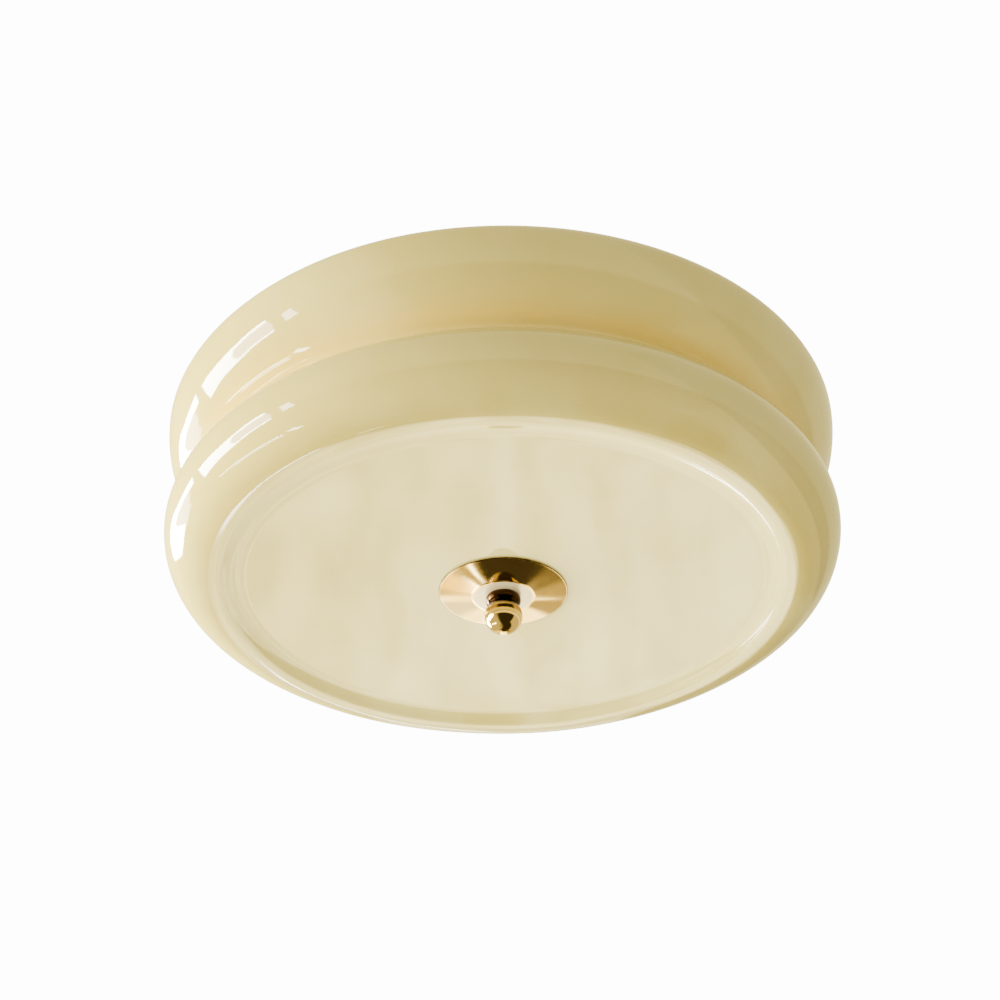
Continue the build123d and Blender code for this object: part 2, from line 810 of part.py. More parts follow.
with BuildPart() as earth_nut:
    with Locations((earth_x, earth_y, web_under - m4_nut_height)):
        add(m4_nut)
save("earth_nut", earth_nut.part)

# Bushings that line the holes where the wires go down through the pan
with BuildPart() as pan_bushings:
    with BuildSketch(Plane.XY.offset(web_top)):
        with Locations(*bushing_places):
            Circle(bushing_flange)
    extrude(amount=bushing_head)
    with BuildSketch(Plane.XY.offset(web_under)):
        with Locations(*bushing_places):
            Circle(bushing_sleeve)
    extrude(amount=pan_sheet)
    with BuildSketch(Plane.XY.offset(web_under)):
        with Locations(*bushing_places):
            Circle(bushing_flange)
    extrude(amount=-bushing_lip)
    with BuildSketch(Plane.XY.offset(web_under - bushing_lip)):
        with Locations(*bushing_places):
            Circle(bushing_bore)
    extrude(amount=bushing_lip + pan_sheet + bushing_head, mode=Mode.SUBTRACT)
save("pan_bushings", pan_bushings.part)


def wire_route(pole, place, rise, bends):
    """The points of a wire along the pan, from its pole's port through its bends."""
    x = pole * pole_pitch + place * wire_pitch
    level = web_top + rise
    plan = [(x, block_front + port_depth), (x, block_front - wire_exit)] + bends
    return [Vector(px, py, level) for px, py in plan]


def wire(points, tightest):
    """A wire along a route, each bend as large as its two runs and the last limit allow."""
    radii = []
    for before, corner, after in zip(points, points[1:], points[2:]):
        turn = radians((corner - before).get_angle(after - corner))
        run = min((corner - before).length, (after - corner).length)
        radii.append(turn_share * run / tan(turn / 2))
    radii[-1] = min(radii[-1], tightest)
    with BuildPart() as tube:
        with BuildLine() as route:
            FilletPolyline(*points, radius=radii)
        with BuildSketch(Plane(origin=route.line @ 0, z_dir=route.line % 0)):
            Circle(wire_radius)
        sweep()
    length = route.wires()[0].length
    share = tube.part.volume / (pi * wire_radius**2 * length)
    print(f"wire of {length:.1f} mm, bends {[round(r, 1) for r in radii]}, fill {share:.4f}")
    return tube.part


def lamp_wire(lamp, side, pole, place, rise, bends):
    """A wire from the terminal block down to one terminal of a lampholder."""
    x, y = terminal_place(lamp_angles[lamp], side)
    route = wire_route(pole, place, rise, bends + [(x, y)])
    return wire(route + [Vector(x, y, lamp_level + terminal_ledge)], rise)


wire_order = (1, -1, 0)
live_bends = (
    [(20.8, 46)],
    [(-27, 42), (-27.7, 16)],
    [(-14, 14), (-14, -10)],
)
neutral_bends = (
    [(27, 42), (27.7, 16)],
    [(-20.8, 46)],
    [(14, 30), (14, -10)],
)
live_tubes = [
    lamp_wire(lamp, 1, -1, wire_order[lamp], live_rise, bends)
    for lamp, bends in enumerate(live_bends)
]
neutral_tubes = [
    lamp_wire(lamp, -1, 0, wire_order[lamp], neutral_rise, bends)
    for lamp, bends in enumerate(neutral_bends)
]
earth_bends = [(20, earth_y), (earth_x - lug_radius - lug_barrel_length, earth_y)]
earth_tubes = [wire(wire_route(1, 0, earth_rise, earth_bends), earth_x)]
for node, tubes in (
    ("live_wires", live_tubes),
    ("neutral_wires", neutral_tubes),
    ("earth_wire", earth_tubes),
):
    with BuildPart() as wires:
        for tube in tubes:
            add(tube)
    save(node, wires.part)
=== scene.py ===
"""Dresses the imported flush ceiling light: its opal glass shade, its brass cap and finial,
and the pan, lampholders, bulbs and wires that the glass hides. Lengths are in metres."""

import json
import logging
from dataclasses import dataclass
from enum import Enum
from math import acos, atan2, cos, degrees, hypot, pi, radians, sin, sqrt

import bpy
from mathutils import Matrix, Vector


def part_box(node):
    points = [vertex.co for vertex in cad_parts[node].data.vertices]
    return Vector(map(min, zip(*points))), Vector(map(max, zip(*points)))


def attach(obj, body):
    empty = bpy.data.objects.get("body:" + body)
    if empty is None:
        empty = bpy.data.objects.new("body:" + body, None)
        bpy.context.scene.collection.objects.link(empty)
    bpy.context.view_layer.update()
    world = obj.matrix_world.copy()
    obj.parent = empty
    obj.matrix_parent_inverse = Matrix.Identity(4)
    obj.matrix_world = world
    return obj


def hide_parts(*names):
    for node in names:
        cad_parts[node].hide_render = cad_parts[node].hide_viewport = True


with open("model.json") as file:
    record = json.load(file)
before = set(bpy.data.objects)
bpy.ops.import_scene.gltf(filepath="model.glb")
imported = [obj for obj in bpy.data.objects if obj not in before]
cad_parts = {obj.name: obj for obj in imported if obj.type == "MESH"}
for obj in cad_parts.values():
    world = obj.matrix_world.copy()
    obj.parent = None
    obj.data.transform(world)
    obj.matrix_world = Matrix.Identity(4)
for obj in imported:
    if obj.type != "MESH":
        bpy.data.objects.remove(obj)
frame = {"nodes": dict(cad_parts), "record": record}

log = logging.getLogger("ceiling_light")

MM = 0.001

# Outline points nearer than this are one point, and vertices nearer than a weld become one.
SAME_POINT = 0.005 * MM
SPIN_WELD = 0.002 * MM
THREAD_WELD = 0.004 * MM

# Faces that meet at more than this many degrees keep a crease between them.
SPIN_CREASE = 40.0
CUT_CREASE = 35.0
SHEET_CREASE = 50.0

# One pitch of a cut thread, as shares of the pitch and of the depth.
CUT_THREAD = ((0.0, 0.0), (0.12, 0.0), (0.46, 1.0), (0.6, 1.0), (0.94, 0.0), (1.0, 0.0))

# A thread is wound from this many pitches below its lower end, and then cut off flat.
LEAD_IN = 1.2

# The index that plain dielectrics share.
PLAIN_INDEX = 1.5

# Where most of a noise's values lie.
NOISE_RANGE = (0.3, 0.7)

Point = tuple[float, float]
Point3 = tuple[float, float, float]
Colour = tuple[float, float, float]
Piece = bpy.types.Object
Socket = bpy.types.NodeSocket
Value = float | Socket
Tint = tuple[float, float, float, float] | Socket


def deselect() -> None:
    """Leaves nothing selected, in object mode."""
    if bpy.context.object and bpy.context.object.mode != "OBJECT":
        bpy.ops.object.mode_set(mode="OBJECT")
    bpy.ops.object.select_all(action="DESELECT")


def select_only(piece: Piece) -> None:
    """Leaves one piece selected and active, in object mode."""
    deselect()
    piece.select_set(True)
    bpy.context.view_layer.objects.active = piece


def start_vertex(name: str, place: Vector) -> Piece:
    """Adds a primitive and shrinks it to one vertex, selected, in edit mode.

    Args:
        name: The new piece's name.
        place: Where the vertex lies.

    Returns:
        The new object, at the origin, with its place in its mesh.
    """
    deselect()
    bpy.ops.mesh.primitive_plane_add(size=MM)
    piece = bpy.context.object
    piece.name = name
    piece.data.name = name
    bpy.ops.object.mode_set(mode="EDIT")
    bpy.ops.mesh.select_all(action="SELECT")
    bpy.ops.mesh.merge(type="CENTER")
    bpy.ops.transform.translate(value=place)
    return piece


def extruded(name: str, outline: list[Point]) -> Piece:
    """A chain of edges along an outline of radius and height, left in edit mode.

    Args:
        name: The piece's name.
        outline: The points, in order.

    Returns:
        The piece, in the plane of X and Z.
    """
    piece = start_vertex(name, Vector((outline[0][0], 0.0, outline[0][1])))
    for before, after in zip(outline, outline[1:]):
        step = (after[0] - before[0], 0.0, after[1] - before[1])
        bpy.ops.mesh.extrude_vertices_move(TRANSFORM_OT_translate={"value": step})
    return piece


def arc(centre: Point, radius: float, start: float, turn: float, steps: int) -> list[Point]:
    """Points along an arc, both ends included.

    Args:
        centre: The arc's centre, as radius and height.
        radius: Its radius.
        start: The angle of its first point, in degrees.
        turn: How far it turns, in degrees, counter-clockwise if positive.
        steps: How many straight steps it takes.

    Returns:
        The points, first to last.
    """
    angles = [radians(start + turn * i / steps) for i in range(steps + 1)]
    return [(centre[0] + radius * cos(a), centre[1] + radius * sin(a)) for a in angles]


def run(start: Point, end: Point, steps: int) -> list[Point]:
    """Evenly spaced points along a straight line, both ends included."""
    shares = [i / steps for i in range(steps + 1)]
    return [(start[0] + (end[0] - start[0]) * s, start[1] + (end[1] - start[1]) * s) for s in shares]


def without_repeats(points: list[Point]) -> list[Point]:
    """Leaves out each point that repeats the one before it.

    Args:
        points: The outline.

    Returns:
        The points that are kept, in order.
    """
    kept = [points[0]]
    for point in points[1:]:
        if hypot(point[0] - kept[-1][0], point[1] - kept[-1][1]) > SAME_POINT:
            kept.append(point)
    return kept


def smooth(piece: Piece, angle: float) -> None:
    """Shades a piece smooth, with creases where its faces meet at more than an angle."""
    select_only(piece)
    bpy.ops.object.shade_smooth_by_angle(angle=radians(angle))


def turned(name: str, outline: list[Point], steps: int, closed: bool = True) -> Piece:
    """A round piece, spun about Z from an outline of radius and height.

    Args:
        name: The piece's name.
        outline: Its points, in order.
        steps: How many steps the spin takes.
        closed: Whether the outline's last point joins its first.

    Returns:
        The piece, with outward normals.
    """
    points = without_repeats(outline)
    piece = extruded(name, points)
    if closed:
        bpy.ops.object.mode_set(mode="OBJECT")
        for vertex in piece.data.vertices:
            vertex.select = vertex.index in (0, len(points) - 1)
        bpy.ops.object.mode_set(mode="EDIT")
        bpy.ops.mesh.edge_face_add()
    bpy.ops.mesh.select_all(action="SELECT")
    bpy.ops.mesh.spin(steps=steps, angle=2 * pi, center=(0, 0, 0), axis=(0, 0, 1))
    bpy.ops.mesh.select_all(action="SELECT")
    bpy.ops.mesh.remove_doubles(threshold=SPIN_WELD)
    bpy.ops.mesh.normals_make_consistent(inside=False)
    bpy.ops.object.mode_set(mode="OBJECT")
    smooth(piece, SPIN_CREASE)
    return piece


def apply_modifier(piece: Piece, modifier: bpy.types.Modifier) -> None:
    """Applies one modifier to its piece."""
    select_only(piece)
    bpy.ops.object.modifier_apply(modifier=modifier.name)


def threaded(name: str, crest: float, depth: float, pitch: float, low: float, high: float,
             steps: int, rounded: bool = False) -> Piece:
    """The open skin of a screw thread about Z, wound from one pitch of its outline.

    Args:
        name: The piece's name.
        crest: The radius of its crests.
        depth: How deep its roots are.
        pitch: The height of one turn.
        low: The height of its lower end.
        high: The height of its upper end.
        steps: How many steps one turn takes.
        rounded: Whether its crests and roots are round, as rolled sheet has them.

    Returns:
        The piece, cut off flat and open at both ends.
    """
    start = low - LEAD_IN * pitch
    if rounded:
        shares = [i / 10 for i in range(11)]
        outline = [(crest - depth * (0.5 - 0.5 * cos(2 * pi * s)), start + s * pitch) for s in shares]
    else:
        outline = [(crest - depth * d, start + s * pitch) for s, d in CUT_THREAD]
    piece = extruded(name, outline)
    bpy.ops.object.mode_set(mode="OBJECT")
    modifier = piece.modifiers.new("wind", "SCREW")
    modifier.axis = "Z"
    modifier.angle = 2 * pi
    modifier.screw_offset = pitch
    modifier.iterations = int((high - start) / pitch) + 2
    modifier.steps = modifier.render_steps = steps
    apply_modifier(piece, modifier)
    bpy.ops.object.mode_set(mode="EDIT")
    bpy.ops.mesh.select_all(action="SELECT")
    bpy.ops.mesh.remove_doubles(threshold=THREAD_WELD)
    for level, lower in ((low, True), (high, False)):
        bpy.ops.mesh.select_all(action="SELECT")
        bpy.ops.mesh.bisect(plane_co=(0, 0, level), plane_no=(0, 0, 1), clear_inner=lower,
                            clear_outer=not lower)
    bpy.ops.object.mode_set(mode="OBJECT")
    return piece


def close_open_edges(piece: Piece) -> None:
    """Fills each open loop of a piece with a face and turns its normals outwards.

    Args:
        piece: The piece to close.
    """
    select_only(piece)
    bpy.ops.object.mode_set(mode="EDIT")
    bpy.ops.mesh.select_all(action="DESELECT")
    bpy.ops.mesh.select_mode(type="EDGE")
    bpy.ops.mesh.select_non_manifold()
    bpy.ops.mesh.edge_face_add()
    bpy.ops.mesh.select_mode(type="VERT")
    bpy.ops.mesh.select_all(action="SELECT")
    bpy.ops.mesh.normals_make_consistent(inside=False)
    bpy.ops.object.mode_set(mode="OBJECT")
    smooth(piece, CUT_CREASE)


def combined(piece: Piece, other: Piece, operation: str) -> None:
    """Cuts a piece with another, or keeps what they share, and deletes the other.

    Args:
        piece: The piece to change.
        other: The piece that changes it.
        operation: The Boolean modifier's operation.
    """
    modifier = piece.modifiers.new("cut", "BOOLEAN")
    modifier.operation = operation
    modifier.solver = "EXACT"
    modifier.object = other
    apply_modifier(piece, modifier)
    removed(other)
    smooth(piece, CUT_CREASE)


def joined(piece: Piece, *others: Piece) -> Piece:
    """Takes the meshes of other pieces into one.

    Args:
        piece: The piece that stays.
        others: The pieces that go into it.

    Returns:
        The piece that stays.
    """
    select_only(piece)
    for other in others:
        other.select_set(True)
    bpy.ops.object.join()
    return piece


def placed(piece: Piece, name: str, matrix: Matrix) -> Piece:
    """A copy of a piece with a mesh of its own, moved there in its mesh.

    Args:
        piece: The piece to copy, at the origin.
        name: The copy's name.
        matrix: Where the copy goes.

    Returns:
        The copy, at the origin, with its place in its mesh.
    """
    select_only(piece)
    bpy.ops.object.duplicate(linked=False)
    copy = bpy.context.object
    copy.name = name
    copy.data.name = name
    copy.matrix_world = matrix
    bpy.ops.object.transform_apply(location=True, rotation=True, scale=True)
    return copy


def shifted(x: float, y: float, z: float) -> Matrix:
    """A matrix that moves a piece."""
    return Matrix.Translation((x, y, z))


def removed(piece: Piece) -> None:
    """Deletes a piece that was only modelled to be copied or to cut."""
    select_only(piece)
    bpy.ops.object.delete()


def block(name: str, size: Point3, place: Vector) -> Piece:
    """A box that only cuts others.

    Args:
        name: The box's name.
        size: Its length along X, Y and Z.
        place: Its middle.

    Returns:
        The box.
    """
    deselect()
    bpy.ops.mesh.primitive_cube_add(size=1.0, location=place, scale=size)
    bpy.ops.object.transform_apply(location=True, rotation=True, scale=True)
    bpy.context.object.name = name
    return bpy.context.object


def seat(piece: Piece, body: str, slot: str, *nodes: str) -> None:
    """Rides a piece on its body and hides the CAD nodes that it stands for.

    Args:
        piece: The piece.
        body: The body that carries it.
        slot: The slot of its finish; not used.
        nodes: The CAD nodes that it stands for.
    """
    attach(piece, body)
    if nodes:
        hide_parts(*nodes)
    log.info("%s rides on %s", piece.name, body)


class NodeBench:
    """A small helper that adds and links the nodes of one tree."""

    def __init__(self, tree: bpy.types.NodeTree) -> None:
        """Takes the tree to work on."""
        self.tree = tree

    def add(self, kind: str, inputs: dict | None = None, **settings: object) -> bpy.types.Node:
        """Adds a node.

        Args:
            kind: The node's type.
            inputs: Values or output sockets for its inputs, by name or number.
            settings: Values for the node's own settings.

        Returns:
            The new node.
        """
        node = self.tree.nodes.new(kind)
        for name, value in settings.items():
            setattr(node, name, value)
        for name, value in (inputs or {}).items():
            if isinstance(value, Socket):
                self.tree.links.new(value, node.inputs[name])
            else:
                node.inputs[name].default_value = value
        return node

    def maths(self, operation: str, *values: Value) -> Socket:
        """The result of a Math node on numbers or sockets."""
        node = self.add("ShaderNodeMath", dict(enumerate(values)), operation=operation)
        return node.outputs[0]

    def mix(self, share: Value, first: Tint, second: Tint) -> Socket:
        """The mix of two colours, each a colour or a socket."""
        node = self.add("ShaderNodeMix", data_type="RGBA", inputs={0: share, 6: first, 7: second})
        return node.outputs[2]

    def between(self, value: Value, low: float, high: float, start: float = 0.0, end: float = 1.0) -> Socket:
        """A value smoothly remapped from one range to another.

        Args:
            value: The value.
            low: Where its own range starts.
            high: Where its own range ends.
            start: What it becomes at the start.
            end: What it becomes at the end.

        Returns:
            The remapped value.
        """
        inputs = {0: value, 1: low, 2: high, 3: start, 4: end}
        node = self.add("ShaderNodeMapRange", inputs, interpolation_type="SMOOTHSTEP")
        return node.outputs[0]

    def noise(self, place: Socket, scale: Value, detail: float = 3.0, warp: float = 0.0) -> Socket:
        """A noise value over coordinates."""
        inputs = {"Vector": place, "Scale": scale, "Detail": detail, "Distortion": warp}
        return self.add("ShaderNodeTexNoise", inputs).outputs["Fac"]

    def round_place(self, place: Socket) -> tuple[Socket, Socket]:
        """Splits a place into what a turned piece's patterns follow.

        Args:
            place: The place's coordinates.

        Returns:
            Its distance from the Z axis, and its height.
        """
        parts = self.add("ShaderNodeSeparateXYZ", {0: place})
        flat = self.add("ShaderNodeCombineXYZ", {0: parts.outputs[0], 1: parts.outputs[1]})
        radius = self.add("ShaderNodeVectorMath", {0: flat.outputs[0]}, operation="LENGTH").outputs["Value"]
        return radius, parts.outputs[2]

    def group(self, tree: bpy.types.NodeTree, inputs: dict) -> bpy.types.bpy_prop_collection:
        """Adds a shared node group and gives its outputs."""
        return self.add("ShaderNodeGroup", inputs, node_tree=tree).outputs

    def link(self, source: Socket, node: bpy.types.Node, socket: str) -> None:
        """Links an output to a node's input by name."""
        self.tree.links.new(source, node.inputs[socket])


def rgba(colour: Colour) -> tuple[float, float, float, float]:
    """A colour with full alpha."""
    return (*colour, 1.0)


def effect(name: str, inputs: dict[str, str], outputs: dict[str, str]) -> tuple[bpy.types.NodeTree, bool]:
    """A shared node group, made the first time that it is asked for.

    Args:
        name: The group's name.
        inputs: Its inputs' names and socket types.
        outputs: Its outputs' names and socket types.

    Returns:
        The group, and whether it is new and still empty.
    """
    if name in bpy.data.node_groups:
        return bpy.data.node_groups[name], False
    tree = bpy.data.node_groups.new(name, "ShaderNodeTree")
    for label, kind in inputs.items():
        tree.interface.new_socket(name=label, in_out="INPUT", socket_type=kind)
    for label, kind in outputs.items():
        tree.interface.new_socket(name=label, in_out="OUTPUT", socket_type=kind)
    return tree, True


def new_material(name: str) -> tuple[bpy.types.Material, NodeBench, bpy.types.Node]:
    """Makes an empty material.

    Args:
        name: Its name.

    Returns:
        The material, the bench for its nodes, and its shader.
    """
    material = bpy.data.materials.new(name)
    material.use_nodes = True
    return material, NodeBench(material.node_tree), material.node_tree.nodes["Principled BSDF"]


def dress(piece: Piece, material: bpy.types.Material) -> None:
    """Gives a piece one material."""
    piece.data.materials.clear()
    piece.data.materials.append(material)


def clouded() -> bpy.types.NodeTree:
    """A group that mixes two colours in soft clouds over a surface.

    Returns:
        The group, the same one each time.
    """
    inputs = {"Place": "NodeSocketVector", "Scale": "NodeSocketFloat", "Amount": "NodeSocketFloat",
              "First": "NodeSocketColor", "Second": "NodeSocketColor"}
    tree, new = effect("clouded", inputs, {"Colour": "NodeSocketColor"})
    if new:
        bench = NodeBench(tree)
        given = bench.add("NodeGroupInput").outputs
        cloud = bench.noise(given["Place"], given["Scale"], 3.0, 0.3)
        share = bench.maths("MULTIPLY", bench.between(cloud, 0.36, 0.68), given["Amount"])
        bench.add("NodeGroupOutput", {"Colour": bench.mix(share, given["First"], given["Second"])})
    return tree


def grained() -> bpy.types.NodeTree:
    """A group for a fine grain: a height for bumps, and a roughness that varies with it.

    Returns:
        The group, the same one each time.
    """
    inputs = {"Place": "NodeSocketVector", "Scale": "NodeSocketFloat", "Roughness": "NodeSocketFloat",
              "Spread": "NodeSocketFloat"}
    tree, new = effect("grained", inputs, {"Height": "NodeSocketFloat", "Roughness": "NodeSocketFloat"})
    if new:
        bench = NodeBench(tree)
        given = bench.add("NodeGroupInput").outputs
        fine = bench.noise(given["Place"], given["Scale"], 4.0)
        broad = bench.noise(given["Place"], bench.maths("MULTIPLY", given["Scale"], 0.07), 3.0)
        swing = bench.maths("MULTIPLY", bench.between(broad, *NOISE_RANGE, -1.0, 1.0), given["Spread"])
        rough = bench.maths("ADD", given["Roughness"], swing)
        bench.add("NodeGroupOutput", {"Height": fine, "Roughness": rough})
    return tree


@dataclass(frozen=True)
class Finish:
    """What every finish of the hidden pieces shares: two tints in clouds and a fine grain."""

    slot: str
    colour: Colour
    shade: Colour
    roughness: float
    clouds: float = 60.0
    amount: float = 0.5
    grain: float = 900.0
    spread: float = 0.05
    bump: float = 0.15
    depth: float = 0.03 * MM

    def material(self) -> bpy.types.Material:
        """Makes the finish, its noise laid out in the object's own coordinates.

        Returns:
            The material, named after its slot.
        """
        material, bench, shader = new_material(self.slot)
        place = bench.add("ShaderNodeTexCoord").outputs["Object"]
        grain = bench.group(grained(), {"Place": place, "Scale": self.grain, "Roughness": self.roughness,
                                        "Spread": self.spread})
        bench.link(self.tint(bench, place), shader, "Base Color")
        bench.link(grain["Roughness"], shader, "Roughness")
        bump = bench.add("ShaderNodeBump", {"Height": grain["Height"], "Strength": self.bump,
                                            "Distance": self.depth})
        bench.link(bump.outputs[0], shader, "Normal")
        self.set_up(shader)
        return material

    def tint(self, bench: NodeBench, place: Socket) -> Socket:
        """The colour over the surface."""
        return bench.group(clouded(), {"Place": place, "Scale": self.clouds, "Amount": self.amount,
                                       "First": rgba(self.colour), "Second": rgba(self.shade)})["Colour"]

    def set_up(self, shader: bpy.types.Node) -> None:
        """Sets what is the same all over the surface: a plain dielectric's index."""
        shader.inputs["IOR"].default_value = PLAIN_INDEX


@dataclass(frozen=True)
class PlatedFinish(Finish):
    """Plated or plain metal: zinc, nickel, bronze or turned brass."""

    def set_up(self, shader: bpy.types.Node) -> None:
        """Makes the surface a metal."""
        shader.inputs["Metallic"].default_value = 1.0


@dataclass(frozen=True)
class GlazedFinish(Finish):
    """Glazed porcelain or powder coat: a clear gloss over its own colour."""

    gloss: float = 0.8
    coat_roughness: float = 0.08

    def set_up(self, shader: bpy.types.Node) -> None:
        """Lays the clear coat on."""
        shader.inputs["IOR"].default_value = PLAIN_INDEX
        shader.inputs["Coat Weight"].default_value = self.gloss
        shader.inputs["Coat Roughness"].default_value = self.coat_roughness


@dataclass(frozen=True)
class MilkyFinish(Finish):
    """Translucent silicone or a frosted bulb: light spreads below its surface."""

    spread_depth: float = 1.5 * MM
    spread_reach: Point3 = (1.0, 0.9, 0.75)
    milkiness: float = 0.4
    index: float = 1.45

    def set_up(self, shader: bpy.types.Node) -> None:
        """Lets light in below the surface.

        Args:
            shader: The material's shader.
        """
        shader.inputs["IOR"].default_value = self.index
        shader.inputs["Subsurface Weight"].default_value = self.milkiness
        shader.inputs["Subsurface Radius"].default_value = self.spread_reach
        shader.inputs["Subsurface Scale"].default_value = self.spread_depth


@dataclass(frozen=True)
class SleeveFinish(Finish):
    """A wire's silicone sleeve, plain or with the stripe of an earth wire."""

    stripe: Colour | None = None
    stripe_low: float = -19.4 * MM
    stripe_high: float = -18.9 * MM

    def tint(self, bench: NodeBench, place: Socket) -> Socket:
        """The sleeve's colour, with a stripe along its upper side where it has one.

        Args:
            bench: The material's nodes.
            place: The place on the sleeve.

        Returns:
            The colour.
        """
        plain = Finish.tint(self, bench, place)
        if self.stripe is None:
            return plain
        height = bench.add("ShaderNodeSeparateXYZ", {0: place}).outputs[2]
        side = bench.between(height, self.stripe_low, self.stripe_high)
        return bench.mix(side, plain, rgba(self.stripe))


FINISHES = (
    MilkyFinish("silicone", (0.80, 0.80, 0.77), (0.70, 0.70, 0.66), 0.42, grain=500.0, bump=0.1),
    PlatedFinish("zinc_steel", (0.62, 0.63, 0.65), (0.50, 0.50, 0.50), 0.30, spread=0.08, bump=0.2),
    PlatedFinish("nickel", (0.78, 0.75, 0.70), (0.66, 0.62, 0.55), 0.20, spread=0.06),
    PlatedFinish("bronze", (0.70, 0.46, 0.24), (0.55, 0.33, 0.16), 0.30),
    PlatedFinish("terminal_brass", (0.78, 0.60, 0.28), (0.62, 0.44, 0.18), 0.28),
    GlazedFinish("white_enamel", (0.80, 0.80, 0.77), (0.74, 0.73, 0.69), 0.38, clouds=18.0, grain=420.0,
                 bump=0.3, depth=0.06 * MM, gloss=0.15),
    GlazedFinish("glazed_ceramic", (0.83, 0.81, 0.76), (0.75, 0.72, 0.65), 0.22, clouds=45.0, grain=160.0,
                 bump=0.2, gloss=0.9),
    Finish("white_nylon", (0.80, 0.79, 0.74), (0.72, 0.70, 0.63), 0.45, grain=700.0, bump=0.25),
    Finish("white_plastic", (0.84, 0.84, 0.82), (0.78, 0.78, 0.75), 0.40, grain=1100.0, bump=0.2),
    MilkyFinish("bulb_opal", (0.88, 0.87, 0.82), (0.82, 0.80, 0.73), 0.45, clouds=30.0, grain=1400.0,
                bump=0.12, spread_depth=3 * MM),
    GlazedFinish("black_glass", (0.02, 0.02, 0.024), (0.05, 0.045, 0.045), 0.18, gloss=0.6),
    Finish("black_rubber", (0.025, 0.025, 0.025), (0.045, 0.044, 0.042), 0.62, grain=600.0, bump=0.3),
    SleeveFinish("brown_sleeve", (0.19, 0.075, 0.03), (0.14, 0.05, 0.02), 0.46, grain=1500.0),
    SleeveFinish("blue_sleeve", (0.03, 0.13, 0.48), (0.02, 0.09, 0.36), 0.46, grain=1500.0),
    SleeveFinish("green_sleeve", (0.07, 0.30, 0.06), (0.05, 0.22, 0.04), 0.46, grain=1500.0,
                 stripe=(0.80, 0.62, 0.04)),
)


class Wardrobe:
    """Makes each hidden finish once and dresses pieces and CAD nodes in it."""

    def __init__(self, finishes: tuple[Finish, ...]) -> None:
        """Makes a material of each finish."""
        self.materials = {finish.slot: finish.material() for finish in finishes}

    def dress(self, piece: Piece, slot: str) -> None:
        """Gives a piece the finish of a slot."""
        dress(piece, self.materials[slot])

    def dress_nodes(self) -> None:
        """Dresses each CAD node that still shows, in the finish that the record gives it."""
        for row in frame["record"]["subparts"]:
            node, slot = row["node"], row["material_slot"]
            piece = frame["nodes"][node]
            if piece.hide_render or slot not in self.materials:
                continue
            if not piece.material_slots:
                piece.data.materials.append(None)
            for place in piece.material_slots:
                place.link = "OBJECT"
                place.material = self.materials[slot]
            log.info("%s is dressed in %s", node, slot)


